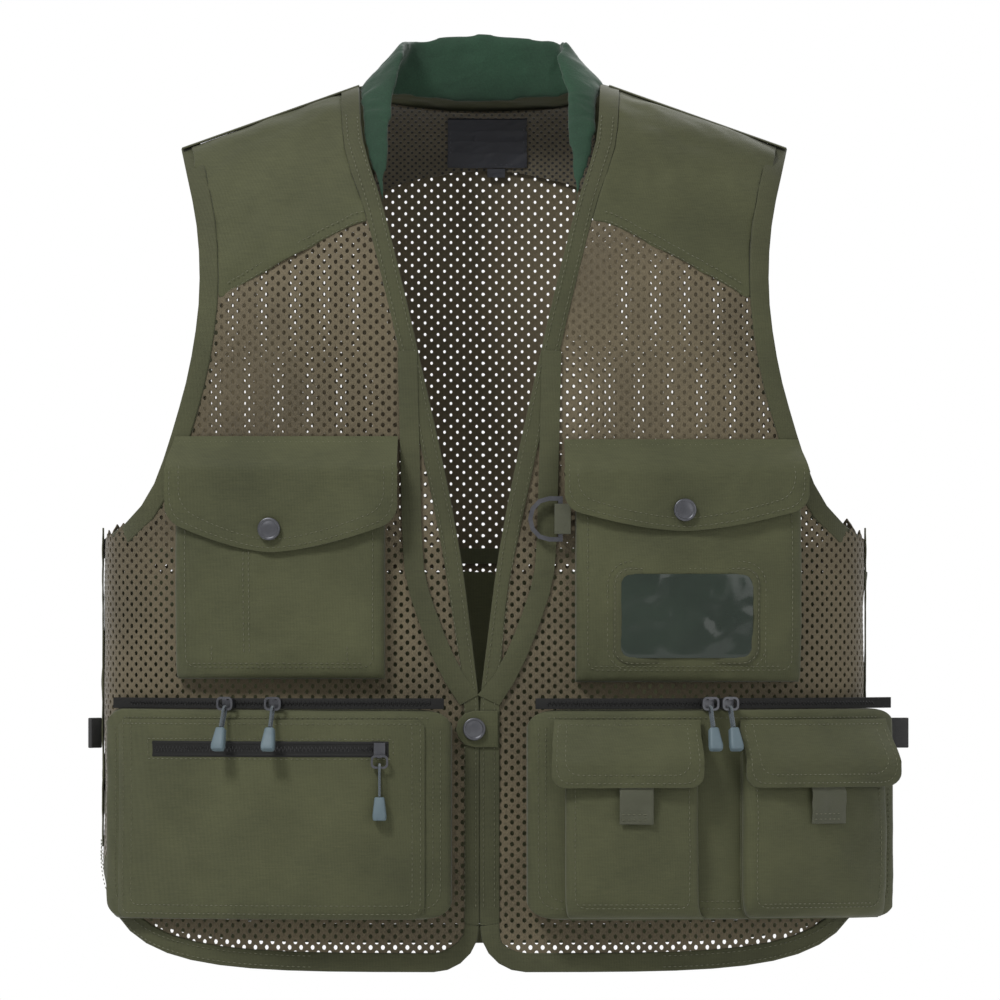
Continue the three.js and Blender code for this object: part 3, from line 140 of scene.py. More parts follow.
TAPE_HALF = 0.0015
hem_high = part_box("hem_binding")[1]
HALF_WIDTH = hem_high[0] - TAPE_HALF
HALF_DEPTH = hem_high[1] - TAPE_HALF
SQUARENESS = 2.7
NECK_HALF = 0.080
SHOULDER_HALF = 0.201
SHOULDER_SLOPE = 0.355
FRONT_DROP = 0.150
NAPE_DROP = 0.050
OVER_SHOULDER = 0.190
HOLE_PITCH = 0.0081
HOLE_ROW = 0.0036
HOLE_HALF_WIDTH = 0.00138
HOLE_HALF_HEIGHT = 0.00165
BACK_PITCH = 1.07
BACK_OPENING = 0.66
TUCK = 0.004
STRAND = 0.0008
STRAND_RISE = 0.00025


def signed_power(value, exponent):
    return np.sign(value) * np.abs(value) ** exponent


def across(angle):
    return HALF_WIDTH * signed_power(np.sin(angle), 2 / SQUARENESS)


def angle_at(x):
    return np.sign(x) * np.arcsin(np.minimum(np.abs(x) / HALF_WIDTH, 1) ** (SQUARENESS / 2))


def ridge(x):
    return -SHOULDER_SLOPE * np.maximum(np.abs(x) - NECK_HALF, 0)


def drop_at(angle):
    share = np.clip((np.abs(across(angle)) - NECK_HALF) / (SHOULDER_HALF - NECK_HALF), 0, 1)
    behind = NAPE_DROP + (FRONT_DROP - NAPE_DROP) * share
    return np.where(np.cos(angle) >= 0, FRONT_DROP, behind)


def body_point(angle, reach):
    turn = np.minimum(reach / OVER_SHOULDER, 1) * math.pi / 2
    below = drop_at(angle) * (1 - np.cos(turn)) + np.maximum(reach - OVER_SHOULDER, 0)
    x = across(angle)
    y = -HALF_DEPTH * signed_power(np.cos(angle), 2 / SQUARENESS) * np.sin(turn)
    return np.stack([x, y, ridge(x) - below], axis=-1)


def reach_at(angle, z):
    drop = drop_at(angle)
    below = np.maximum(ridge(across(angle)) - z, 0)
    near = OVER_SHOULDER * np.arccos(np.clip(1 - below / drop, -1, 1)) / (math.pi / 2)
    return np.where(below >= drop, OVER_SHOULDER + below - drop, near)


def unit(vectors):
    return vectors / np.maximum(np.linalg.norm(vectors, axis=-1, keepdims=True), 1e-12)


def body_normal(angle, reach):
    around = body_point(angle + 0.01, reach) - body_point(angle - 0.01, reach)
    down = body_point(angle, reach + 0.001) - body_point(angle, np.maximum(reach - 0.001, 0))
    return unit(np.cross(down, around))


def rumple(points, size, seed, waves=7):
    """Soft random folds between -1 and 1, about size metres across."""
    dice = np.random.default_rng(seed)
    total = np.zeros(points.shape[:-1])
    warp = np.zeros(points.shape[:-1])
    for _ in range(waves):
        way = unit(dice.normal(size=3)) * 2 * math.pi / (size * dice.uniform(0.7, 1.8))
        wave = points @ way + dice.uniform(0, 6.28) + 1.3 * warp
        warp = np.sin(wave)
        total += warp
    return total / waves ** 0.5 / 1.6


def on_body(angle, reach, lift=0.0):
    points = body_point(angle, reach)
    sway = 0.0007 * rumple(points, 0.11, 4)
    return points + body_normal(angle, reach) * (lift + sway)[..., None]


def new_piece(name, points, faces, body="vest"):
    mesh = bpy.data.meshes.new(name)
    mesh.from_pydata([tuple(p) for p in points], [], [tuple(f) for f in faces])
    mesh.update()
    piece = bpy.data.objects.new(name, mesh)
    bpy.context.collection.objects.link(piece)
    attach(piece, body)
    return piece


def make_active(piece):
    bpy.ops.object.select_all(action="DESELECT")
    piece.select_set(True)
    bpy.context.view_layer.objects.active = piece


def finish_with(piece, kind, **settings):
    make_active(piece)
    modifier = piece.modifiers.new(kind.lower(), kind)
    for key, value in settings.items():
        setattr(modifier, key, value)
    bpy.ops.object.modifier_apply(modifier=modifier.name)


def smooth_shade(piece, degrees=40):
    make_active(piece)
    bpy.ops.object.shade_smooth_by_angle(angle=math.radians(degrees))


def tree_of(node):
    mesh = frame["nodes"][node].data
    return BVHTree.FromPolygons([v.co for v in mesh.vertices], [p.vertices[:] for p in mesh.polygons])


def arc_lengths(first, last):
    angles = np.linspace(first, last, 600)
    ring = body_point(angles, np.full(600, OVER_SHOULDER))
    lengths = np.concatenate([[0], np.cumsum(np.linalg.norm(np.diff(ring, axis=0), axis=1))])
    return angles, lengths


def knit(name, node, first, last, size=1.0, opening=1.0):
    angles, lengths = arc_lengths(first, last)
    bottom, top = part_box(node)[0][2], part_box(node)[1][2]
    tree = tree_of(node)
    half = HOLE_PITCH * size / 2
    step = HOLE_ROW * size

    def place(across_key, up_key, lift):
        angle = np.interp(across_key * half / 2, lengths, angles)
        return on_body(angle, reach_at(angle, bottom + up_key * step / 2), lift)

    columns = np.arange(int(lengths[-1] / half))
    rows = np.arange(int((top - bottom) / step) + 2)
    cells = np.array([(2 * a, 2 * b) for b in rows for a in columns if (a + b) % 2 == 0])
    centres = place(cells[:, 0], cells[:, 1], np.zeros(len(cells)))
    near = [tree.find_nearest(Vector(c), TUCK)[0] is not None for c in centres]
    cells = cells[np.array(near)]
    border = [(2, 0), (1, 1), (0, 2), (-1, 1), (-2, 0), (-1, -1), (0, -2), (1, -1)]
    keys = {}
    faces = []
    for a, b in cells:
        for da, db in border:
            keys.setdefault((a + da, b + db), len(keys))
    for cell, (a, b) in enumerate(cells):
        outside = [keys[(a + da, b + db)] for da, db in border]
        start = len(keys) + cell * 8
        for k in range(8):
            after = (k + 1) % 8
            faces.append((outside[k], outside[after], start + after, start + k))
    knots = np.array(list(keys))
    crossing = (knots[:, 0] % 2 == 0) * STRAND_RISE
    outer = place(knots[:, 0], knots[:, 1], crossing)
    turn = np.arange(8) * math.pi / 4
    hole_a = cells[:, :1] + np.cos(turn) * HOLE_HALF_WIDTH * opening / half * 2
    hole_b = cells[:, 1:] + np.sin(turn) * HOLE_HALF_HEIGHT * opening / step * 2
    inner = place(hole_a.ravel(), hole_b.ravel(), np.zeros(hole_a.size))
    piece = new_piece(name, np.concatenate([outer, inner]), faces)
    finish_with(piece, "SOLIDIFY", thickness=STRAND, offset=0)
    smooth_shade(piece, 80)
    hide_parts(node)
    return piece


class Finish:
    """One material, built from node outputs that can be added and multiplied."""

    def __init__(self, name, **settings):
        self.material = bpy.data.materials.new(name)
        self.material.use_nodes = True
        self.tree = self.material.node_tree
        self.shader = self.tree.nodes["Principled BSDF"]
        for key, value in settings.items():
            self.shader.inputs[key.replace("_", " ").title().replace("Ior", "IOR")].default_value = value

    def node(self, kind, output, settings, **inputs):
        made = self.tree.nodes.new(kind)
        for key, value in settings.items():
            setattr(made, key, value)
        for key, value in inputs.items():
            socket = made.inputs[int(key[1:])] if key[1:].isdigit() else made.inputs[key.replace("_", " ")]
            if isinstance(value, Value):
                self.tree.links.new(value.socket, socket)
            else:
                socket.default_value = value
        return Value(self, made.outputs[output])

    def place(self):
        return self.node("ShaderNodeTexCoord", "Object", {})

    def scaled(self, place, x, y, z):
        return self.node("ShaderNodeVectorMath", 0, {"operation": "MULTIPLY"}, i0=place, i1=(x, y, z))

    def noise(self, place, scale, detail=3.0, rough=0.55):
        return self.node("ShaderNodeTexNoise", "Fac", {}, Vector=place, Scale=scale, Detail=detail,
                         Roughness=rough)

    def wave(self, place, scale, way="X", distortion=0.0):
        settings = {"wave_type": "BANDS", "bands_direction": way, "wave_profile": "SIN"}
        return self.node("ShaderNodeTexWave", "Fac", settings, Vector=place, Scale=scale,
                         Distortion=distortion)

    def colour(self, share, dark, light):
        return self.node("ShaderNodeMix", 2, {"data_type": "RGBA"}, i0=share, i6=(*dark, 1), i7=(*light, 1))

    def wear(self, **inputs):
        for key, value in inputs.items():
            self.tree.links.new(value.socket, self.shader.inputs[key.replace("_", " ").title()])

    def bump(self, height, depth, strength=1.0):
        normal = self.node("ShaderNodeBump", "Normal", {}, Height=height, Distance=depth, Strength=strength)
        self.wear(normal=normal)


class Value:
    def __init__(self, finish, socket):
        self.finish = finish
        self.socket = socket

    def maths(self, operation, first, second):
        return self.finish.node("ShaderNodeMath", 0, {"operation": operation}, i0=first, i1=second)

    def __add__(self, other):
        return self.maths("ADD", self, other)

    def __sub__(self, other):
        return self.maths("SUBTRACT", self, other)

    def __rsub__(self, other):
        return self.maths("SUBTRACT", other, self)

    def __mul__(self, other):
        return self.maths("MULTIPLY", self, other)

    def over(self, edge, softness=0.1):
        return self.finish.node("ShaderNodeMapRange", 0, {"clamp": True}, i0=self, i1=edge - softness,
                                i2=edge + softness, i3=0.0, i4=1.0)

    __radd__ = __add__
    __rmul__ = __mul__


def knit_finish():
    finish = Finish("knit", roughness=0.62, sheen_weight=0.25, sheen_roughness=0.4)
    place = finish.place()
    fibre = finish.noise(finish.scaled(place, 1, 1, 0.35), 1900, 4)
    tone = finish.noise(place, 9, 3)
    glint = finish.noise(place, 1400, 1).over(0.66, 0.03)
    shade = fibre * 0.55 + tone * 0.45
    finish.wear(
        base_color=finish.colour(shade.over(0.5, 0.22), (0.040, 0.031, 0.015), (0.160, 0.128, 0.072)),
        roughness=0.7 - glint * 0.4,
        metallic=glint * 0.55,
    )
    finish.bump(fibre, 0.0004, 0.7)
    return finish.material


KNIT = knit_finish()
SIDE = math.pi / 2 + 0.02
QUARTER_ROUND = 0.292
# Each knit panel: its node and run round the body, with its holes' size; then the cut's width, length
# and area, and the piece that it hangs from.
for piece_name, panel, (width, length, area), above in [
    ("right_front_knit", ("right_front_mesh", -SIDE, 0.02),
     (QUARTER_ROUND, 0.492, 0.0960), "right_front_yoke"),
    ("left_front_knit", ("left_front_mesh", -0.02, SIDE),
     (QUARTER_ROUND, 0.492, 0.0983), "left_front_yoke"),
    ("back_knit", ("back_mesh_panel", -2 * math.pi + SIDE, -SIDE, BACK_PITCH, BACK_OPENING),
     (2 * QUARTER_ROUND, 0.271, 0.0974), "back_shoulder_yoke"),
]:
    piece = knit(piece_name, *panel)
    piece.data.materials.append(KNIT)

# ---------- woven panels: both front yokes, the back yoke and the lower back ----------
# A light plain-weave polyester and cotton in dull olive. Each panel laps over the knit with a
# turned edge held by two rows of slightly paler thread.

WEAVE_DARK = (0.036, 0.039, 0.017)
WEAVE_LIGHT = (0.080, 0.084, 0.038)
THREAD = (0.125, 0.128, 0.068)
CLOTH_REACH = 0.0016
STITCH = 0.0026
STITCH_PITCH = 0.0036
STITCH_HALF = 0.00034
STITCH_HEIGHT = 0.00042
STITCH_SINK = 0.0001
SPINDLE = [(0, 2, 4), (2, 1, 4), (1, 3, 4), (3, 0, 4), (2, 0, 5), (1, 2, 5), (3, 1, 5), (0, 3, 5)]


def woven_finish(name, dark, light, rough=0.72):
    finish = Finish(name, sheen_weight=0.12, sheen_roughness=0.5, specular_ior_level=0.3)
    place = finish.place()
    warp = finish.wave(finish.scaled(place, 1, 0.6, 0.05), 330, "DIAGONAL", 0.6)
    weft = finish.wave(place, 330, "Z", 0.6)
    slub = finish.noise(finish.scaled(place, 1, 1, 9), 120, 4)
    tone = finish.noise(place, 14, 4)
    thread = finish.noise(place, 1500, 3)
    weave = warp * 0.5 + weft * 0.5
    shade = tone * 0.46 + slub * 0.24 + thread * 0.24 + weave * 0.06
    finish.wear(base_color=finish.colour(shade.over(0.5, 0.19), dark, light),
                roughness=rough + thread * 0.16 - weave * 0.08)
    finish.bump(weave * 0.3 + thread * 0.7, 0.0003, 0.5)
    return finish.material


WOVEN = woven_finish("woven_cloth", WEAVE_DARK, WEAVE_LIGHT)
FOLDED = woven_finish("folded_tape", (0.033, 0.035, 0.016), (0.072, 0.075, 0.035))


def thread_finish(name, colour):
    finish = Finish(name, roughness=0.55, sheen_weight=0.3)
    ply = finish.noise(finish.place(), 2600, 2)
    finish.wear(base_color=finish.colour(ply, tuple(0.7 * c for c in colour), colour))
    finish.bump(ply, 0.0002)
    return finish.material


SEWING = thread_finish("sewing_thread", THREAD)


def woven(name, node, first, last, reaches, lift=0.0004, cell=0.005, fold=0.0013):
    angles, lengths = arc_lengths(first, last)
    tree = tree_of(node)
    columns = int(lengths[-1] / cell)
    rows = int((reaches[1] - reaches[0]) / cell)
    turns = np.interp(np.linspace(0, lengths[-1], columns + 1), lengths, angles)
    angle, reach = np.meshgrid(turns, np.linspace(*reaches, rows + 1))
    points = on_body(angle, reach, np.zeros(angle.shape)).reshape(-1, 3)
    normal = body_normal(angle, reach).reshape(-1, 3)
    inside = []
    for index, point in enumerate(points):
        nearest, _, _, gap = tree.find_nearest(Vector(point))
        inside.append(gap < CLOTH_REACH)
        if not inside[-1]:
            points[index] = nearest
    inside = np.array(inside).reshape(rows + 1, columns + 1)
    ripple = fold * rumple(points * (1, 1, 0.7), 0.05, 11) + 0.5 * fold * rumple(points, 0.021, 3)
    points = points + normal * (lift + ripple)[:, None]
    faces = []
    for row in range(rows):
        for column in range(columns):
            if inside[row:row + 2, column:column + 2].any():
                start = row * (columns + 1) + column
                faces.append((start + columns + 1, start + columns + 2, start + 1, start))
    piece = new_piece(name, points, faces)
    finish_with(piece, "WELD", merge_threshold=0.0002)
    make_active(piece)
    bpy.ops.object.mode_set(mode="EDIT")
    bpy.ops.mesh.select_all(action="SELECT")
    bpy.ops.mesh.delete_loose()
    bpy.ops.object.mode_set(mode="OBJECT")
    finish_with(piece, "SOLIDIFY", thickness=0.0014, offset=0)
    finish_with(piece, "SUBSURF", levels=1, render_levels=1)
    smooth_shade(piece, 60)
    piece.data.materials.append(WOVEN)
    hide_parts(node)


YOKE_REACH = (0.0006, 0.236)
woven("right_front_yoke", "right_yoke", -SIDE, 0, YOKE_REACH)
woven("left_front_yoke", "left_yoke", 0, SIDE, YOKE_REACH)
woven("back_shoulder_yoke", "back_yoke", -2 * math.pi + SIDE, -SIDE, (0.0006, 0.27))
lower_reach = float(reach_at(np.array(-math.pi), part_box("back_lower_panel")[0][2]))
upper_reach = float(reach_at(np.array(-SIDE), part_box("back_lower_panel")[1][2]))
woven("back_lower_cloth", "back_lower_panel", -2 * math.pi + SIDE, -SIDE,
      (upper_reach - 0.07, lower_reach + 0.01), fold=0.0024)


def resample(path, pitch):
    path = np.asarray(path, dtype=float)
    steps = np.linalg.norm(np.diff(path, axis=0), axis=1)
    lengths = np.concatenate([[0], np.cumsum(steps)])
    wanted = np.arange(0, lengths[-1], pitch)
    return np.stack([np.interp(wanted, lengths, path[:, k]) for k in range(3)], axis=1)


def add_spindle(points, faces, centre, long_way, wide_way, tall_way):
    """One small eight-sided body, pointed at the ends of each of its three half-axes."""
    start = len(points)
    for half in (long_way, -wide_way, -tall_way):
        points += [centre - half, centre + half]
    faces += [tuple(start + k for k in face) for face in SPINDLE]


def sew(name, seams, body="vest", material=None):
    """Rows of stitches: seams is a list of (points on the cloth, outward direction at each)."""
    points = []
    faces = []
    for path, outward in seams:
        spots = resample(path, STITCH_PITCH)
        parameter = np.linspace(0, 1, len(path))
        steps = np.concatenate([[0], np.cumsum(np.linalg.norm(np.diff(path, axis=0), axis=1))])
        share = np.interp(np.arange(len(spots)) * STITCH_PITCH, steps, parameter)
        ways = np.stack([np.interp(share, parameter, np.asarray(outward)[:, k]) for k in range(3)], axis=1)
        for spot, ahead, way in zip(spots[:-1], spots[1:], ways):
            along = unit(ahead - spot)
            way = unit(way)
            centre = spot + along * STITCH / 2 + way * STITCH_SINK
            add_spindle(points, faces, centre, along * STITCH / 2, np.cross(way, along) * STITCH_HALF,
                        way * STITCH_HEIGHT)
    piece = new_piece(name, points, faces, body)
    piece.data.materials.append(material or SEWING)
    return piece


def body_line(spots, lift):
    """A path over the body: spots are (angle, reach) pairs."""
    angle, reach = np.array(spots).T
    return on_body(angle, reach, np.full(len(spots), lift)), body_normal(angle, reach)


SEAM_LIFT = 0.0021
yoke_rows = []
for sign, node in [(-1, "right_yoke"), (1, "left_yoke")]:
    tree = tree_of(node)
    for inset in (0.003, 0.009):
        path = []
        for x in np.linspace(0.075, 0.182, 26):
            angle = angle_at(np.array(sign * x))
            for z in np.linspace(-0.08, -0.150, 71):
                reach = float(reach_at(angle, z))
                point = on_body(angle, np.array(reach), np.array(0.0))
                if tree.find_nearest(Vector(point))[3] > CLOTH_REACH:
                    break
            path.append((float(angle), float(reach_at(angle, z + inset))))
        yoke_rows.append(body_line(path[1:-2], SEAM_LIFT))
tree = tree_of("back_yoke")
for inset in (0.003, 0.009):
    path = []
    for angle in np.linspace(-2 * math.pi + 2.2, -2.2, 60):
        for z in np.linspace(-0.045, -0.130, 81):
            reach = float(reach_at(np.array(angle), z))
            point = on_body(np.array(angle), np.array(reach), np.array(0.0))
            if tree.find_nearest(Vector(point))[3] > CLOTH_REACH:
                break
        if z < -0.05:
            path.append((angle, float(reach_at(np.array(angle), z + inset))))
    yoke_rows.append(body_line(path, SEAM_LIFT))
sew("yoke_stitching", yoke_rows)

# ---------- waist tape and front tapes ----------
# Flat woven tapes sewn over the waist seam inside the back, and down each front beside the opening.


def copy_of(node, name, body="vest"):
    mesh = frame["nodes"][node].data.copy()
    mesh.materials.clear()
    piece = bpy.data.objects.new(name, mesh)
    bpy.context.collection.objects.link(piece)
    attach(piece, body)
    make_active(piece)
    bpy.ops.object.mode_set(mode="EDIT")
    bpy.ops.mesh.select_all(action="SELECT")
    bpy.ops.mesh.remove_doubles(threshold=0.00002)
    bpy.ops.mesh.customdata_custom_splitnormals_clear()
    bpy.ops.object.mode_set(mode="OBJECT")
    return piece


def sewn_tape(name, node, puff=0.0003, material=None, body="vest", round_edge=0.0007):
    """A tape or binding: the planned strip, softened at its edges."""
    piece = copy_of(node, name, body)
    bpy.ops.object.mode_set(mode="EDIT")
    bpy.ops.mesh.select_all(action="SELECT")
    bpy.ops.mesh.dissolve_limited(angle_limit=math.radians(1))
    bpy.ops.transform.shrink_fatten(value=puff)
    bpy.ops.object.mode_set(mode="OBJECT")
    finish_with(piece, "BEVEL", width=round_edge, segments=3, limit_method="ANGLE",
                angle_limit=math.radians(40))
    smooth_shade(piece, 50)
    piece.data.materials.append(material or FOLDED)
    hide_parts(node)
    return piece


sewn_tape("waist_tape", "back_waist_tape")
sewn_tape("right_front_stripe", "right_front_tape")
sewn_tape("left_front_stripe", "left_front_tape")

# ---------- bindings: front edges, armholes and hem ----------
# Strips of the same olive cloth folded over the raw edges and stitched through close to the
# inner fold.

OPENING = [(-0.408, 0.0), (-0.302, 0.014), (-0.183, 0.039), (-0.084, 0.063), (-0.038, 0.077), (0, 0.08)]
CLOSURE = -0.003


def front_edge(sign, z):
    heights, widths = zip(*OPENING)
    return CLOSURE + sign * np.interp(z, heights, widths)


for side in ("right", "left"):
    sewn_tape(f"{side}_front_edge", f"{side}_front_binding", puff=0.0005, round_edge=0.0011)
    sewn_tape(f"{side}_armhole_edge", f"{side}_armhole_binding", puff=0.0005, round_edge=0.0011)
sewn_tape("hem_edge", "hem_binding", puff=0.0005, round_edge=0.0011)

EDGE_LIFT = 0.0022
edge_rows = []
for sign in (-1, 1):
    for inset in (0.0025, 0.0098):
        heights = np.linspace(-0.545, -0.02, 120)
        x = front_edge(sign, heights) + sign * inset
        angle = angle_at(x)
        edge_rows.append(body_line(list(zip(angle, reach_at(angle, heights))), EDGE_LIFT))


def hem_at(angle):
    turn = abs(math.atan2(math.sin(angle), math.cos(angle)))
    lowest = -0.5875 if turn < math.pi / 2 else -0.572
    return lowest + (-0.510 - lowest) * (min(turn, math.pi - turn) / (math.pi / 2)) ** 3.3


for inset in (0.0025, 0.0098):
    turns = np.linspace(-0.35, -2 * math.pi + 0.35, 260)
    path = [(t, float(reach_at(np.array(t), hem_at(t) + inset))) for t in turns]
    edge_rows.append(body_line(path, EDGE_LIFT))
sew("edge_stitching", edge_rows)

# ---------- collar ----------
# A band of brushed dark-green cloth over a thin foam pad. It stands up behind the neck and
# narrows to a tip on each front edge. The foam puffs it a little.


def collar_finish():
    finish = Finish("brushed_collar", roughness=0.85, sheen_weight=0.2, sheen_roughness=0.45)
    place = finish.place()
    nap = finish.noise(place, 900, 4)
    tone = finish.noise(place, 22, 4)
    shade = nap * 0.45 + tone * 0.55
    finish.wear(base_color=finish.colour(shade.over(0.5, 0.2), (0.004, 0.022, 0.010), (0.014, 0.056, 0.027)))
    finish.bump(nap * 0.6 + finish.noise(place, 160, 3) * 0.4, 0.0005, 0.6)
    return finish.material


def puff_up(piece, voxel, pressure, cap):
    """Blows a closed piece up a little with cloth simulation, so it takes folds of its own."""
    finish_with(piece, "REMESH", mode="VOXEL", voxel_size=voxel, adaptivity=0)
    rest = np.array([v.co for v in piece.data.vertices])
    make_active(piece)
    cloth = piece.modifiers.new("cloth", "CLOTH")
    cloth.settings.use_pressure = True
    cloth.settings.uniform_pressure_force = pressure
    cloth.settings.effector_weights.gravity = 0
    cloth.settings.quality = 4
    cloth.settings.mass = 0.2
    for tick in range(1, 16):
        bpy.context.scene.frame_set(tick)
    bpy.ops.object.modifier_apply(modifier="cloth")
    bpy.context.scene.frame_set(1)
    blown = np.array([v.co for v in piece.data.vertices])
    move = blown - rest
    travel = np.linalg.norm(move, axis=1, keepdims=True)
    move *= np.minimum(1, cap / np.maximum(travel, 1e-9))
    for vertex, place in zip(piece.data.vertices, rest + move):
        vertex.co = place
    finish_with(piece, "CORRECTIVE_SMOOTH", iterations=14, use_only_smooth=True)
    finish_with(piece, "SUBSURF", levels=1, render_levels=1)


def wrinkle(piece, depth, size, seed):
    points = np.array([v.co for v in piece.data.vertices])
    normals = np.array([v.normal for v in piece.data.vertices])
    folds = depth * rumple(points, size, seed) + 0.35 * depth * rumple(points, size / 2.5, seed + 1)
    for vertex, place in zip(piece.data.vertices, points + normals * folds[:, None]):
        vertex.co = place


COLLAR_DROOP = 1.15
COLLAR_SPREAD = 0.005
collar = copy_of("collar", "padded_collar")
collar_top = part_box("collar")[1][2]
for vertex in collar.data.vertices:
    vertex.co.z = collar_top - (collar_top - vertex.co.z) * COLLAR_DROOP
    wing = min(max((0.02 - vertex.co.z) / 0.03, 0), 1) * min(max((vertex.co.z + 0.09) / 0.05, 0), 1)
    if vertex.co.y < 0.03:
        vertex.co.x += math.copysign(COLLAR_SPREAD * wing, vertex.co.x)
puff_up(collar, 0.0026, 2.5, 0.0022)
wrinkle(collar, 0.0007, 0.035, 5)
smooth_shade(collar, 80)
collar.data.materials.append(collar_finish())
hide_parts("collar")

# ---------- neck lining, label and size tag ----------
# A half-moon of the same knit lines the back of the neck. A blank navy satin label is sewn over
# it on four sides, with a small blank size tag under it.

lining = copy_of("back_neck_lining", "neck_lining")
finish_with(lining, "SUBSURF", subdivision_type="SIMPLE", levels=2, render_levels=2)
wrinkle(lining, 0.0005, 0.03, 8)
smooth_shade(lining, 60)


def lining_knit_with_painted_hole_shade():
    finish = Finish("lining_knit", roughness=0.7, sheen_weight=0.25)
    place = finish.place()
    hole_x = finish.wave(place, 1 / 0.0081 / 6.283 * 3.1416, "X")
    hole_z = finish.wave(place, 1 / 0.0072 / 6.283 * 3.1416, "Z")
    product = (hole_x - 0.5) * (hole_z - 0.5) * 4
    # The holes are painted as near-black dots: painted shade for the dark seen through the open knit. The
    # same hole mask also dents the bump.
    hole_with_painted_shade = product.over(0.42, 0.12)
    fibre = finish.noise(place, 1900, 4)
    cloth = finish.colour(fibre.over(0.5, 0.25), (0.045, 0.038, 0.021), (0.120, 0.098, 0.060))
    finish.wear(base_color=finish.node("ShaderNodeMix", 2, {"data_type": "RGBA"}, i0=hole_with_painted_shade, i6=cloth,
                                       i7=(0.008, 0.008, 0.006, 1)))
    finish.bump(fibre * 0.4 - hole_with_painted_shade, 0.0006, 0.8)
    return finish.material


lining.data.materials.append(lining_knit_with_painted_hole_shade())
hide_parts("back_neck_lining")


def satin_finish():
    finish = Finish("navy_satin", roughness=0.38, sheen_weight=0.2, anisotropic=0.4)
    place = finish.place()
    yarn = finish.wave(place, 900, "Z")
    tone = finish.noise(place, 60, 3)
    finish.wear(base_color=finish.colour(tone, (0.007, 0.008, 0.013), (0.018, 0.020, 0.030)))
    finish.bump(yarn * 0.5 + tone * 0.5, 0.0002, 0.4)
    return finish.material


SATIN = satin_finish()
for node, name in [("neck_label", "satin_label"), ("size_tag", "satin_size_tag")]:
    patch = copy_of(node, name)
    finish_with(patch, "SUBSURF", subdivision_type="SIMPLE", levels=3, render_levels=3)
    wrinkle(patch, 0.0003, 0.02, 21)
    smooth_shade(patch, 60)
    patch.data.materials.append(SATIN)
    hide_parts(node)

label_low, label_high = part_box("neck_label")
border = []
label_angles = [-math.pi - float(angle_at(np.array(x)))
                for x in (label_low[0] + 0.002, label_high[0] - 0.002)]
for z in (label_low[2] + 0.002, label_high[2] - 0.002):
    turns = np.linspace(*label_angles, 20)
    points, outward = body_line([(t, float(reach_at(np.array(t), z))) for t in turns], -0.0049)
    border.append((points, -outward))
for turn in label_angles:
    heights = np.linspace(label_low[2] + 0.002, label_high[2] - 0.002, 12)
    points, outward = body_line([(turn, float(reach_at(np.array(turn), z))) for z in heights], -0.0049)
    border.append((points, -outward))
LABEL_THREAD = thread_finish("label_thread", (0.05, 0.055, 0.07))
sew("label_stitching", border, material=LABEL_THREAD)

# ---------- chest pockets ----------
# Two deep bags of the olive cloth on the mesh, each one front panel turned round into gussets and
# double-stitched along its edges. The right one has a pen slot, the left one a clear window.

CHEST_STAND = 0.0018
CHEST_DEPTH = 0.0158
CLOTH = 0.0012


def chest_place(x, z, lift):
    angle = angle_at(x)
    return on_body(angle, reach_at(angle, z), lift)


def crown(share, power):
    return np.maximum(1 - np.abs(share) ** power, 0) ** (1 / power)


def spread(first, last, cell, both=True):
    """Places from first to last, close together near the ends, or near the last one only."""
    count = max(int(abs(last - first) / cell), 6)
    turn = np.linspace(-1 if both else 0, 1, count + 1) * math.pi / 2
    share = (np.sin(turn) + 1) / 2 if both else np.sin(turn)
    return first + (last - first) * share


def pouch_front(place, left, right, top, bottom, depth, mouth, power=6, seed=1):
    """The front of an open bag, as a place function whose lift is added to the cloth's own."""

    def front(x, z, lift):
        x, z = np.broadcast_arrays(np.asarray(x, float), np.asarray(z, float))
        aside = np.clip((2 * x - left - right) / (right - left), -1, 1)
        down = np.clip((top - z) / (top - bottom), 0, 1)
        full = crown(aside, power) * crown(down, power)
        full = full * (mouth + (1 - mouth) * np.minimum(down / 0.4, 1))
        flat = place(x, z, np.zeros(x.shape))
        free = crown(aside, 2.5) * crown(down, 2.5)
        folds = 0.0015 * rumple(flat * (1, 1, 0.6), 0.05, seed) + 0.0007 * rumple(flat, 0.02, seed + 1)
        creases = 0.0011 * (1 - free) * rumple(flat * (1, 1, 0.4), 0.015, seed + 2) * full
        return place(x, z, lift + CHEST_STAND + depth * full + free * folds + creases)

    return front


def grid_faces(rows, columns, start=0):
    return [(start + (r + 1) * columns + c, start + (r + 1) * columns + c + 1,
             start + r * columns + c + 1, start + r * columns + c)
            for r in range(rows - 1) for c in range(columns - 1)]


def cloth_panel(name, points, thickness=CLOTH, offset=1.0, body="vest", material=None):
    """A panel from a grid of places, seen from its outer side, given a thickness."""
    rows, columns = points.shape[:2]
    piece = new_piece(name, points.reshape(-1, 3), grid_faces(rows, columns), body)
    finish_with(piece, "SOLIDIFY", thickness=thickness, offset=offset)
    finish_with(piece, "BEVEL", width=thickness * 0.35, segments=2, limit_method="ANGLE",
                angle_limit=math.radians(50))
    smooth_shade(piece, 60)
    piece.data.materials.append(material or WOVEN)
    return piece


def bag(name, node, front, back, left, right, top, bottom, closed=False):
    """Front and back layers joined round the sides and bottom, as one open or closed bag."""
    across_it = spread(left, right, 0.0035)
    down_it = spread(top, bottom, 0.0035, both=closed)
    x, z = np.meshgrid(across_it, down_it)
    rows, columns = x.shape
    points = np.concatenate([front(x, z, 0.0).reshape(-1, 3), back(x, z).reshape(-1, 3)])
    faces = grid_faces(rows, columns)
    faces += [tuple(reversed(face)) for face in grid_faces(rows, columns, rows * columns)]
    piece = new_piece(name, points, faces)
    finish_with(piece, "WELD", merge_threshold=0.0003)
    if not closed:
        finish_with(piece, "SOLIDIFY", thickness=CLOTH, offset=-1)
    finish_with(piece, "SUBSURF", levels=1, render_levels=1)
    smooth_shade(piece, 50)
    piece.data.materials.append(WOVEN)
    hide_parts(node)
    return piece


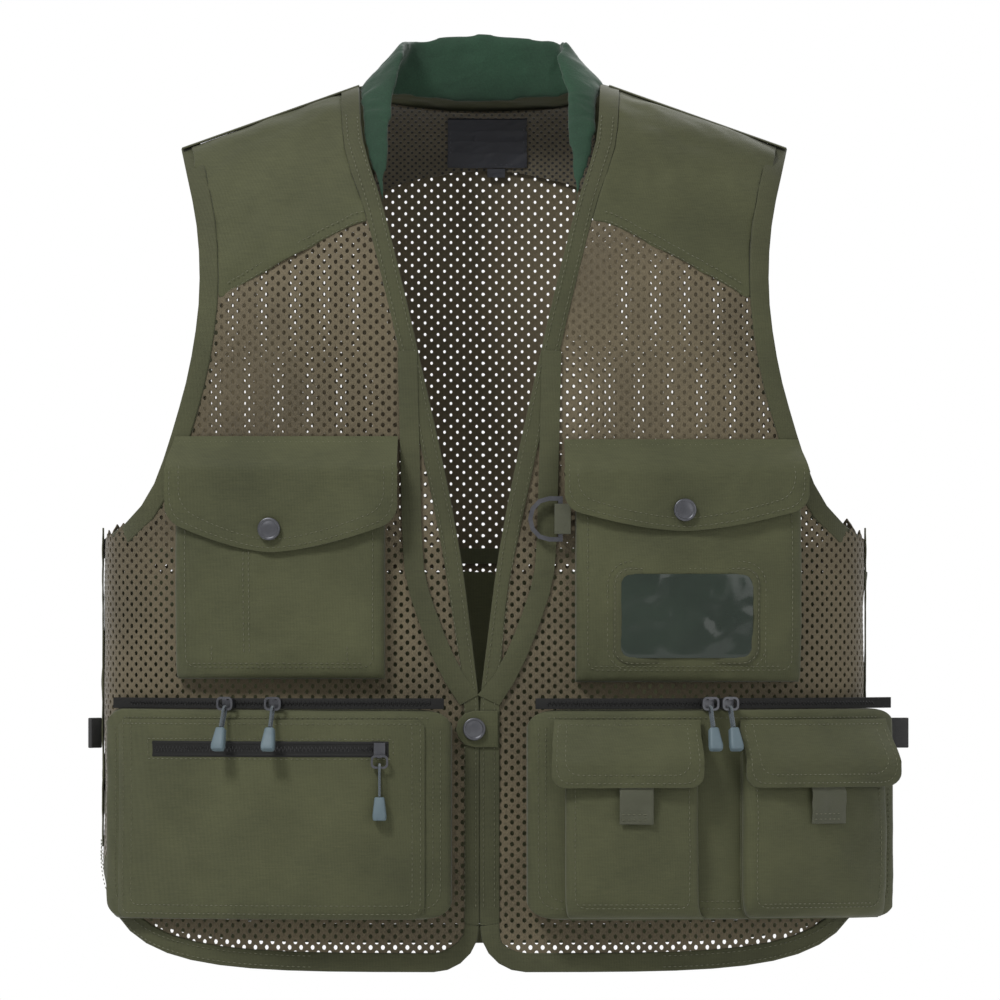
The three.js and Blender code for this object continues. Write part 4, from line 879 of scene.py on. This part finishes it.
def seam(front, spots, lift=0.0003):
    """A stitch path over a surface: spots are (x, z) pairs."""
    x, z = np.array(spots).T
    inner = front(x, z, lift)
    return inner, unit(front(x, z, lift + 0.002) - inner)


def outline(left, right, top, bottom, inset, corner=0.006):
    """A U of spots down one side, along the bottom and up the other, with rounded corners."""
    left, right, bottom = left + inset, right - inset, bottom + inset
    turn = np.linspace(0, math.pi / 2, 6)
    spots = [(left, z) for z in np.linspace(top, bottom + corner, 24)]
    spots += [(left + corner - corner * math.cos(t), bottom + corner - corner * math.sin(t)) for t in turn]
    spots += [(x, bottom) for x in np.linspace(left + corner, right - corner, 24)]
    spots += [(right - corner + corner * math.sin(t), bottom + corner - corner * math.cos(t)) for t in turn]
    return spots + [(right, z) for z in np.linspace(bottom + corner, top, 24)]


def row(first, last, level, count=24):
    return [(x, level) for x in np.linspace(first, last, count)]


def upright(x, top, bottom, count=16):
    return [(x, z) for z in np.linspace(top, bottom, count)]


def chest_back(x, z):
    return chest_place(x, z, np.full(x.shape, CHEST_STAND))


CHEST = {
    "right": (-0.201, -0.065, -0.252, -0.394),
    "left": (0.060, 0.2065, -0.254, -0.396),
}
PEN_SLOT_X = -0.156
chest_fronts = {}
for number, (side, (left, right, top, bottom)) in enumerate(CHEST.items()):
    front = pouch_front(chest_place, left, right, top, bottom, CHEST_DEPTH, 0.8, seed=30 + 5 * number)
    chest_fronts[side] = front
    bag(f"{side}_chest_pocket", f"{side}_chest_bag", front, chest_back, left, right, top, bottom)
    rows = [seam(front, outline(left, right, top, bottom, 0.008)),
            seam(front, row(left + 0.012, right - 0.012, bottom + 0.0105))]
    for x in (left + 0.0245, right - 0.0245):
        rows.append(seam(front, upright(x, bottom + 0.022, bottom + 0.009, 5)))
    if side == "right":
        rows += [seam(front, upright(PEN_SLOT_X + nudge, top - 0.05, bottom + 0.0145))
                 for nudge in (0, 0.0035)]
    sew(f"{side}_chest_stitching", rows)

WINDOW = (0.089, 0.1736, -0.3243, -0.380)
WINDOW_CORNER = 0.0066


def rounded_panel(front, left, right, top, bottom, corner, lift, cell=0.003):
    """A grid whose corners are drawn in to a radius, on a surface."""
    across_it = np.linspace(left, right, int((right - left) / cell) + 2)
    down_it = np.linspace(top, bottom, int((top - bottom) / cell) + 2)
    x, z = np.meshgrid(across_it, down_it)
    near_side = np.minimum(np.minimum(x - left, right - x), corner)
    pull = corner - np.sqrt(np.maximum(corner ** 2 - (corner - near_side) ** 2, 0))
    half = (top - bottom) / 2
    centre = (top + bottom) / 2
    z = centre + (z - centre) * (half - pull) / half
    return front(x, z, lift)


def film_finish():
    finish = Finish("window_film", roughness=0.16, coat_roughness=0.08, coat_weight=0.25,
                    specular_ior_level=0.4)
    place = finish.place()
    cloud = finish.noise(place, 26, 3)
    finish.wear(base_color=finish.colour(cloud, (0.006, 0.012, 0.008), (0.020, 0.034, 0.022)),
                roughness=0.12 + cloud * 0.14)
    finish.bump(cloud, 0.0016, 0.5)
    return finish.material


film = cloth_panel("window_sheet", rounded_panel(chest_fronts["left"], *WINDOW, WINDOW_CORNER, 0.0004),
                   thickness=0.0005, material=film_finish())
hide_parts("left_chest_window")


def ring_path(left, right, top, bottom, corner, out, count=10):
    spots = []
    for x, z, start in [(right, top, 0), (left, top, 1), (left, bottom, 2), (right, bottom, 3)]:
        inner_x = x - math.copysign(corner, x - (left + right) / 2)
        inner_z = z - math.copysign(corner, z - (top + bottom) / 2)
        for t in np.linspace(0, math.pi / 2, count):
            turn = start * math.pi / 2 + t
            spots.append((inner_x + (corner + out) * math.cos(turn),
                          inner_z + (corner + out) * math.sin(turn)))
    return spots + spots[:1]


# The window's frame is the front cloth turned back round the opening, so it stands a little proud.
frame_outer = np.array(ring_path(*WINDOW, WINDOW_CORNER, 0.0045))
frame_inner = np.array(ring_path(*WINDOW, WINDOW_CORNER, -0.001))
shares = np.array([0, 0.12, 0.5, 0.88, 1.0])
stands = np.array([0.0001, 0.0009, 0.0011, 0.0011, 0.0006])
band = frame_outer[:, None] + (frame_inner - frame_outer)[:, None] * shares[None, :, None]
band_points = chest_fronts["left"](band[..., 0], band[..., 1], stands[None, :])
cloth_panel("window_frame", band_points, thickness=0.0004, offset=-1.0, material=FOLDED)
sew("window_stitching", [
    seam(chest_fronts["left"], ring_path(*WINDOW, WINDOW_CORNER, 0.0035), 0.0011),
    seam(chest_fronts["left"], ring_path(*WINDOW, WINDOW_CORNER, 0.0082), 0.0002),
])

# ---------- chest flaps with their snaps ----------
# Each flap is two layers of the cloth turned and double-stitched, sewn to the vest along its top
# edge and closed by one gunmetal snap.

FLAP_ROOT = 0.0018
FLAP_CLOTH = 0.0014


def flap_place(place, root, stand, run, hinge, seed):
    """A flap leaves the cloth at its root and lies on the bag below it."""

    def front(x, z, lift):
        x, z = np.broadcast_arrays(np.asarray(x, float), np.asarray(z, float))
        way = np.clip((hinge - z) / run, 0, 1)
        ease = way * way * (3 - 2 * way) * 0.5 + way * 0.5
        flat = place(x, z, np.zeros(x.shape))
        large = 0.0013 * rumple(flat * (1, 1, 0.7), 0.05, seed)
        folds = (large + 0.0006 * rumple(flat, 0.018, seed + 1)) * way
        return place(x, z, lift + root + (stand - root) * ease + np.maximum(folds, -0.0006))

    return front


def flap_edge(x, left, right, edge, dip, lowest, corner=0.009):
    away = np.abs(x - lowest) / np.where(x < lowest, lowest - left, right - lowest)
    near = np.minimum(np.minimum(x - left, right - x), corner)
    rounding = np.sqrt(np.maximum(corner ** 2 - (corner - near) ** 2, 0))
    return edge - dip * (1 - away ** 1.6) + corner - rounding


def flap(name, node, body, front, left, right, hinge, edge, dip, lowest, insets=(0.003, 0.0085)):
    across_it = spread(left, right, 0.0035)
    share = np.linspace(0, 1, 20)
    ends = flap_edge(across_it, left, right, edge, dip, lowest)
    x = np.broadcast_to(across_it, (20, len(across_it)))
    z = hinge + (ends[None, :] - hinge) * share[:, None]
    piece = cloth_panel(name, front(x, z, 0.0), FLAP_CLOTH, 1.0, body)
    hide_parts(node)
    rows = []
    for inset in insets:
        below = np.linspace(left + inset, right - inset, 60)
        ends = flap_edge(below, left + inset, right - inset, edge + inset, dip, lowest)
        spots = upright(left + inset, hinge - 0.003, ends[0]) + list(zip(below, ends))
        rows.append(seam(front, spots + upright(right - inset, ends[-1], hinge - 0.003), FLAP_CLOTH + 0.0001))
    rows.append(seam(front, row(left + 0.003, right - 0.003, hinge - 0.003), FLAP_CLOTH + 0.0001))
    sew(f"{name}_stitching", rows, body)
    return piece


chest_flap_places = {}
for side, size in {
    "right": (-0.204, -0.057, -0.234, -0.289, 0.021, -0.139),
    "left": (0.053, 0.207, -0.236, -0.281, 0.015, 0.130),
}.items():
    front = flap_place(chest_place, FLAP_ROOT, 0.0196, 0.020, size[2], 61 if side == "right" else 71)
    chest_flap_places[side] = front
    flap(f"{side}_chest_cover", f"{side}_chest_flap", f"{side}_chest_flap", front, *size)


def gunmetal_finish():
    finish = Finish("gunmetal", metallic=0.9, roughness=0.35)
    place = finish.place()
    grain = finish.noise(place, 700, 3)
    stain = finish.noise(place, 90, 4)
    finish.wear(base_color=finish.colour(stain, (0.060, 0.062, 0.070), (0.150, 0.152, 0.165)),
                roughness=0.28 + grain * 0.2)
    finish.bump(grain, 0.0001, 0.5)
    return finish.material


GUNMETAL = gunmetal_finish()
SNAP_THICKNESS = 0.0026
# The cap's face from its rim inwards: how far in each step goes, and how far it rises.
SNAP_STEPS = [(0.0006, 0.0003), (0.0009, -0.0001), (0.0004, -0.0005), (0.0012, 0.0004), (0.0022, 0.0002)]


def snap(name, node, body):
    """A snap button: a turned disc with a raised rim and a low dome, set flat on the cloth."""
    near, far = (Vector(corner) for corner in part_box(node))
    centre = (near + far) / 2
    mesh = frame["nodes"][node].data
    total = Vector()
    for face in mesh.polygons:
        if (face.center - centre).dot(face.normal) > 0 and face.normal.y < -0.6:
            total += face.normal * face.area
    way = total.normalized()
    radius = (far.z - near.z) / 2 / max((1 - way.z ** 2) ** 0.5, 0.5)
    turn = way.to_track_quat("Z", "Y").to_euler()
    bpy.ops.object.select_all(action="DESELECT")
    bpy.ops.mesh.primitive_cylinder_add(vertices=64, radius=radius, depth=SNAP_THICKNESS, location=centre,
                                        rotation=turn)
    piece = bpy.context.object
    piece.name = name
    bpy.ops.object.transform_apply(location=True, rotation=True, scale=True)
    bpy.ops.object.mode_set(mode="EDIT")
    bpy.ops.mesh.select_all(action="DESELECT")
    bpy.ops.object.mode_set(mode="OBJECT")
    for face in piece.data.polygons:
        face.select = face.normal.dot(way) > 0.9
    bpy.ops.object.mode_set(mode="EDIT")
    bpy.ops.mesh.select_mode(type="FACE")
    for thickness, rise in SNAP_STEPS:
        bpy.ops.mesh.inset(thickness=min(thickness, radius * 0.3))
        bpy.ops.transform.translate(value=way * rise)
    bpy.ops.object.mode_set(mode="OBJECT")
    finish_with(piece, "BEVEL", width=0.00025, segments=2, limit_method="ANGLE", angle_limit=math.radians(35))
    smooth_shade(piece, 50)
    piece.data.materials.append(GUNMETAL)
    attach(piece, body)
    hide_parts(node)


for side in ("right", "left"):
    snap(f"{side}_chest_snap", f"{side}_chest_snap_cap", f"{side}_chest_flap")
    stud = frame["nodes"][f"{side}_chest_snap_stud"]
    stud.data.materials.clear()
    stud.data.materials.append(GUNMETAL)

# ---------- cargo pockets ----------
# Two deep zipped pockets wrap round the lower fronts. Each is a curved front panel and a gusset of
# the olive cloth, joined in a double-stitched seam, with a black coil zip along the top edge.

CARGO_STAND = 0.003
CARGO_TOP = -0.4135
CARGO_BOTTOM = -0.553
CARGO_CORNER = 0.016
ZIP_LEVEL = -0.41
ZIP_BACK = 0.0031
travel = {joint["name"]: joint for joint in frame["joints"]}
CARGO = {
    "right": {"inner": -0.021, "outer": -0.252, "back_end": -math.radians(75), "seed": 90},
    "left": {"inner": 0.028, "outer": 0.2765, "back_end": math.radians(86), "seed": 120},
}


def cargo_front(side):
    """The front of a cargo pocket: lift is added outwards from the pocket's own cloth."""
    size = CARGO[side]
    centre = travel[f"{side}_cargo_inner_slider_travel"]["pos_m"]
    radius = centre[1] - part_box(f"{side}_cargo_pocket")[0][1]
    inner, outer = size["inner"], size["outer"]
    start = float(angle_at(np.array(inner)))

    def front(x, z, lift, full=None, folds=True):
        x, z = np.broadcast_arrays(np.asarray(x, float), np.asarray(z, float))
        along = np.clip((x - inner) / (outer - inner), 0, 1)
        aside = 2 * along - 1
        down = np.clip((CARGO_TOP + CARGO_BOTTOM - 2 * z) / (CARGO_BOTTOM - CARGO_TOP), -1, 1)
        if full is None:
            full = crown(aside, 12) * crown(down, 12)
        turn = np.arcsin((x - centre[0]) / radius)
        away = np.stack([np.sin(turn), -np.cos(turn), np.zeros(x.shape)], axis=-1)
        rim = np.stack([x, centre[1] - radius * np.cos(turn), z], axis=-1)
        angle = start + (size["back_end"] - start) * along
        root = on_body(angle, reach_at(angle, z), np.full(x.shape, CARGO_STAND))
        free = crown(aside, 3) * crown(down, 3)
        fold = 0.0011 * rumple(rim * (1, 1, 0.7), 0.06, size["seed"])
        fold = fold + 0.0005 * rumple(rim, 0.022, size["seed"] + 1)
        pucker = 0.0006 * (1 - free) * rumple(rim, 0.012, size["seed"] + 2)
        soft = (free * fold + pucker * full) if folds else 0
        out = np.broadcast_to(lift + soft, x.shape)
        return root + (rim - root) * full[..., None] + away * out[..., None]

    return front


def cargo_bag(side):
    """Front panel, gusset and back as one closed shell, its corners rounded in the outline."""
    size = CARGO[side]
    front = cargo_fronts[side]
    x, z = np.meshgrid(spread(size["inner"], size["outer"], 0.0042), spread(CARGO_TOP, CARGO_BOTTOM, 0.0038))
    near = np.minimum(np.abs(x - size["inner"]), np.abs(x - size["outer"]))
    near = np.minimum(near, CARGO_CORNER)
    pull = CARGO_CORNER - np.sqrt(np.maximum(CARGO_CORNER ** 2 - (CARGO_CORNER - near) ** 2, 0))
    centre = (CARGO_TOP + CARGO_BOTTOM) / 2
    half = (CARGO_TOP - CARGO_BOTTOM) / 2
    z = centre + (z - centre) * (half - 0.8 * pull) / half
    rows, columns = x.shape
    points = front(x, z, 0.0)
    flat = front(x, z, 0.0, full=np.zeros(x.shape), folds=False)
    points[[0, -1]] = flat[[0, -1]]
    points[:, [0, -1]] = flat[:, [0, -1]]
    faces = grid_faces(rows, columns)
    faces += [tuple(reversed(face)) for face in grid_faces(rows, columns, rows * columns)]
    if side == "right":
        faces = [tuple(reversed(face)) for face in faces]
    both = np.concatenate([points.reshape(-1, 3), flat.reshape(-1, 3)])
    piece = new_piece(f"{side}_cargo_bag", both, faces)
    finish_with(piece, "WELD", merge_threshold=0.0003)
    finish_with(piece, "SUBSURF", levels=1, render_levels=1)
    smooth_shade(piece, 60)
    piece.data.materials.append(WOVEN)
    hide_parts(f"{side}_cargo_pocket")


def zip_finish():
    finish = Finish("zip_tape", roughness=0.6, specular_ior_level=0.25)
    place = finish.place()
    rib = finish.wave(place, 700, "DIAGONAL", 1.0)
    fibre = finish.noise(place, 1600, 3)
    shade = fibre * 0.6 + rib * 0.4
    finish.wear(base_color=finish.colour(shade, (0.004, 0.004, 0.004), (0.014, 0.014, 0.013)),
                roughness=0.5 + fibre * 0.3)
    finish.bump(rib * 0.5 + fibre * 0.5, 0.0002, 0.6)
    return finish.material


def coil_finish():
    finish = Finish("zip_coil", roughness=0.35)
    grain = finish.noise(finish.place(), 900, 2)
    finish.wear(base_color=finish.colour(grain, (0.004, 0.004, 0.004), (0.012, 0.012, 0.012)),
                roughness=0.3 + grain * 0.15)
    return finish.material


ZIP_TAPE = zip_finish()
COIL = coil_finish()
TOOTH_PITCH = 0.0013
TOOTH_SHIFT = 0.0006
TOOTH_LENGTH = 0.0017
TOOTH_WIDTH = 0.00062
TOOTH_HEIGHT = 0.0007


def zip_teeth(name, path, outward):
    """The closed coil: two rows of short teeth that lock along the middle of the zip."""
    points = []
    faces = []
    spots = resample(path, TOOTH_PITCH)
    ways = unit(resample(path + outward * 0.001, TOOTH_PITCH)[:len(spots)] - spots)
    for number, (spot, ahead, way) in enumerate(zip(spots[:-1], spots[1:], ways)):
        along = unit(ahead - spot)
        aside = np.cross(way, along)
        centre = spot + aside * (TOOTH_SHIFT if number % 2 else -TOOTH_SHIFT)
        add_spindle(points, faces, centre, aside * TOOTH_LENGTH, along * TOOTH_WIDTH, way * TOOTH_HEIGHT)
    piece = new_piece(name, points, faces)
    piece.data.materials.append(COIL)


cargo_fronts = {side: cargo_front(side) for side in CARGO}
for side, size in CARGO.items():
    cargo_bag(side)
    sewn_tape(f"{side}_cargo_zip_tape", f"{side}_cargo_zip", puff=0.0001, material=ZIP_TAPE,
              round_edge=0.0004)
    inner, outer = size["inner"], size["outer"]
    margin = math.copysign(0.014, outer)
    x = np.linspace(inner + margin, outer - margin, 150)
    spine = cargo_fronts[side](x, np.full(150, ZIP_LEVEL), -ZIP_BACK, full=np.ones(150), folds=False)
    rim = cargo_fronts[side](x, np.full(150, ZIP_LEVEL), 0.001, full=np.ones(150), folds=False)
    zip_teeth(f"{side}_cargo_coil", spine, unit(rim - spine))
    left, right = min(inner, outer), max(inner, outer)
    edges = [outline(left, right, CARGO_TOP - 0.012, CARGO_BOTTOM, inset, 0.012)
             for inset in (0.0075, 0.0125)]
    seams = [seam(cargo_fronts[side], edge, 0.0002) for edge in edges]
    seams.append(seam(cargo_fronts[side], row(left + 0.013, right - 0.013, CARGO_TOP - 0.006), 0.0002))
    sew(f"{side}_cargo_stitching", seams)

# ---------- patch pocket on the right cargo pocket ----------
# A flat pocket of the same cloth sewn over nearly all of the front, with a welted zip opening.

PATCH = (-0.2415, -0.039, -0.4205, -0.552)
SLOT = (-0.2185, -0.063, -0.44)
SLOT_HALF = 0.0048
patch_front = cargo_fronts["right"]
left, right, top, bottom = PATCH
patch_points = rounded_panel(patch_front, left, right, top, bottom, 0.004, 0.0002, cell=0.004)
patch = cloth_panel("patch_cloth", patch_points, 0.0013)
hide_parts("right_patch_pocket")
patch_rows = [seam(patch_front, outline(left, right, top, bottom, inset, 0.004), 0.0016)
              for inset in (0.003, 0.0085)]
patch_rows.append(seam(patch_front, row(left + 0.003, right - 0.003, top - 0.003), 0.0016))
slot_left, slot_right, slot_level = SLOT
for gap in (SLOT_HALF + 0.0018, -SLOT_HALF - 0.0018):
    patch_rows.append(seam(patch_front, row(slot_left - 0.003, slot_right + 0.003, slot_level + gap), 0.0016))
for end in (slot_left - 0.003, slot_right + 0.003):
    patch_rows.append(seam(patch_front, upright(end, slot_level + 0.006, slot_level - 0.006, 6), 0.0016))
sew("patch_stitching", patch_rows)

x, z = np.meshgrid(np.linspace(slot_left, slot_right, 48),
                   np.linspace(slot_level + SLOT_HALF, slot_level - SLOT_HALF, 7))
slot_tape = cloth_panel("patch_zip_tape", patch_front(x, z, 0.0014), 0.0003, material=ZIP_TAPE)
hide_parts("right_patch_zip")
x = np.linspace(slot_left + 0.002, slot_right - 0.002, 120)
spine = patch_front(x, np.full(120, slot_level), 0.0018)
zip_teeth("patch_coil", spine, unit(patch_front(x, np.full(120, slot_level), 0.004) - spine))
# Folded welts hide the tape above and below the coil.
for name, upper, lower in (
    ("upper_welt", SLOT_HALF + 0.0006, 0.0026),
    ("lower_welt", -0.0026, -SLOT_HALF - 0.0006),
):
    x, z = np.meshgrid(np.linspace(slot_left, slot_right, 60), slot_level + np.linspace(upper, lower, 5))
    stand = np.array([0.0013, 0.0019, 0.0021, 0.0020, 0.0015])[:, None]
    cloth_panel(f"patch_{name}", patch_front(x, z, stand), 0.0003, offset=-1, material=ZIP_TAPE)

# ---------- two small pockets on the left cargo pocket ----------
# Small bags with gussets, each under a turned and double-stitched flap with a webbing tab.

SMALL_STAND = 0.0004
small_place = cargo_fronts["left"]
SMALL = {
    "inner": {"bag": (0.0535, 0.140), "flap": (0.046, 0.1412), "tab": 0.099},
    "outer": {"bag": (0.169, 0.262), "flap": (0.1674, 0.265), "tab": 0.219},
}
SMALL_MOUTH = -0.441
SMALL_BOTTOM = -0.552
SMALL_HINGE = -0.421
SMALL_EDGE = -0.4655
TAB_HALF = 0.0105
TAB_END = -0.4895


def small_back(x, z):
    return small_place(x, z, np.full(x.shape, SMALL_STAND))


def webbing_finish(name, dark, light):
    finish = Finish(name, roughness=0.6, sheen_weight=0.2)
    place = finish.place()
    rib = finish.wave(finish.scaled(place, 1, 1, 1), 420, "Z", 0.3)
    cross = finish.wave(place, 520, "X", 0.3)
    fibre = finish.noise(place, 1500, 3)
    finish.wear(base_color=finish.colour(rib * 0.4 + cross * 0.2 + fibre * 0.4, dark, light))
    finish.bump(rib * 0.6 + cross * 0.4, 0.0003, 0.7)
    return finish.material


TAB_WEBBING = webbing_finish("olive_webbing", (0.028, 0.030, 0.014), (0.070, 0.074, 0.038))
for number, (side, size) in enumerate(SMALL.items()):
    left, right = size["bag"]
    seed = 150 + 10 * number
    front = pouch_front(small_place, left, right, SMALL_MOUTH, SMALL_BOTTOM, 0.011, 0.7, power=5, seed=seed)
    bag(f"left_small_{side}_pocket", f"left_small_{side}_bag", front, small_back, left, right, SMALL_MOUTH,
        SMALL_BOTTOM)
    sew(f"left_small_{side}_stitching", [
        seam(front, outline(left, right, SMALL_MOUTH, SMALL_BOTTOM, 0.007), 0.0002),
        seam(front, row(left + 0.011, right - 0.011, SMALL_BOTTOM + 0.0095), 0.0002),
    ])
    left, right = size["flap"]
    body = f"left_small_{side}_flap"
    cover = flap_place(small_place, FLAP_ROOT, 0.0152, 0.028, SMALL_HINGE, seed + 5)
    flap(f"left_small_{side}_cover", body, body, cover, left, right, SMALL_HINGE, SMALL_EDGE, 0.0,
         size["tab"])
    tab = size["tab"]
    x, z = np.meshgrid(np.linspace(tab - TAB_HALF, tab + TAB_HALF, 9),
                       np.linspace(SMALL_EDGE + 0.006, TAB_END, 14))
    under = np.where(z > SMALL_EDGE - 0.001, -0.0012, 0.0001)
    cloth_panel(f"left_small_{side}_tab", cover(x, z, under), 0.0012, 1.0, body, TAB_WEBBING)
    sew(f"left_small_{side}_tab_stitching", [
        seam(cover, row(tab - TAB_HALF + 0.001, tab + TAB_HALF - 0.001, level, 8), 0.0014)
        for level in (TAB_END + 0.003, TAB_END + 0.0065)
    ], body)

# ---------- front tab, D-ring, side loops and zip pulls ----------
# A cloth tab with a snap closes the fronts. A wire D-ring hangs in a loop on the left front, a
# webbing loop sits at each side, and each zip slider carries a corded pull with a moulded grip.

sewn_tape("closing_tab", "front_tab", puff=0.0002, material=WOVEN, body="front_tab")
snap("closing_snap", "front_tab_snap_cap", "front_tab")
sewn_tape("ring_keeper", "d_ring_loop", puff=0.0001, material=TAB_WEBBING,
          round_edge=0.0004)
BLACK_WEBBING = webbing_finish("black_webbing", (0.006, 0.006, 0.006), (0.028, 0.028, 0.028))
for side in ("right", "left"):
    sewn_tape(f"{side}_side_webbing", f"{side}_side_loop", puff=0.0001, material=BLACK_WEBBING)


def rubber_finish(name, dark, light, rough):
    finish = Finish(name, roughness=rough, specular_ior_level=0.4)
    place = finish.place()
    skin = finish.noise(place, 500, 3)
    scuff = finish.noise(place, 120, 4)
    finish.wear(base_color=finish.colour(scuff, dark, light), roughness=rough + skin * 0.15)
    finish.bump(skin, 0.0001, 0.5)
    return finish.material


def cord_finish():
    finish = Finish("braided_cord", roughness=0.7, sheen_weight=0.3)
    place = finish.place()
    braid = finish.wave(place, 1500, "DIAGONAL", 0.4)
    finish.wear(base_color=finish.colour(braid, (0.030, 0.042, 0.052), (0.095, 0.125, 0.145)))
    finish.bump(braid, 0.0002, 0.8)
    return finish.material


BRAID = cord_finish()
GRIP = rubber_finish("grip_rubber", (0.075, 0.110, 0.130), (0.125, 0.170, 0.190), 0.5)
for node in ("right_cargo_outer", "right_cargo_inner", "left_cargo_inner", "left_cargo_outer", "right_patch"):
    sewn_tape(f"{node}_moulded_grip", f"{node}_pull_grip", puff=0.0, material=GRIP,
                     body=f"{node}_pull", round_edge=0.0011)
    for part, material in ((f"{node}_slider", GUNMETAL), (f"{node}_pull_cord", BRAID)):
        held = frame["nodes"][part]
        held.data.materials.clear()
        held.data.materials.append(material)
ring = frame["nodes"]["d_ring"]
ring.data.materials.clear()
ring.data.materials.append(GUNMETAL)

# ---------- seam tapes at the sides and shoulders ----------
# Folded strips of the olive cloth cover the side seams below the armholes and the shoulder seams.

SEAM_HALF = 0.008
SEAM_STAND = 0.0012
SIDE_TOP = -0.294
SIDE_BOTTOM = -0.506
for side, sign in (("right", -1), ("left", 1)):
    y, z = np.meshgrid(sign * np.linspace(-SEAM_HALF, SEAM_HALF, 9), np.linspace(SIDE_TOP, SIDE_BOTTOM, 60))
    ripple = sign * 0.0004 * rumple(np.stack([y, y, z], -1), 0.03, 7)
    x = np.full(y.shape, sign * (HALF_WIDTH + SEAM_STAND)) + ripple
    cloth_panel(f"{side}_side_seam_tape", np.stack([x, y, z], axis=-1), 0.001, material=FOLDED)
    y, x = np.meshgrid(np.linspace(SEAM_HALF, -SEAM_HALF, 9),
                       sign * np.linspace(NECK_HALF + 0.003, SHOULDER_HALF, 34), indexing="ij")
    if sign < 0:
        y, x = y[:, ::-1], x[:, ::-1]
    share = np.clip((np.abs(x) - NECK_HALF) / (SHOULDER_HALF - NECK_HALF), 0, 1)
    deepest = np.where(y < 0, FRONT_DROP, NAPE_DROP + (FRONT_DROP - NAPE_DROP) * share)
    fall = deepest * (1 - np.sqrt(1 - (y / HALF_DEPTH) ** 2))
    z = ridge(x) - fall + SEAM_STAND
    cloth_panel(f"{side}_shoulder_seam_tape", np.stack([x, y, z], axis=-1), 0.001, material=FOLDED)
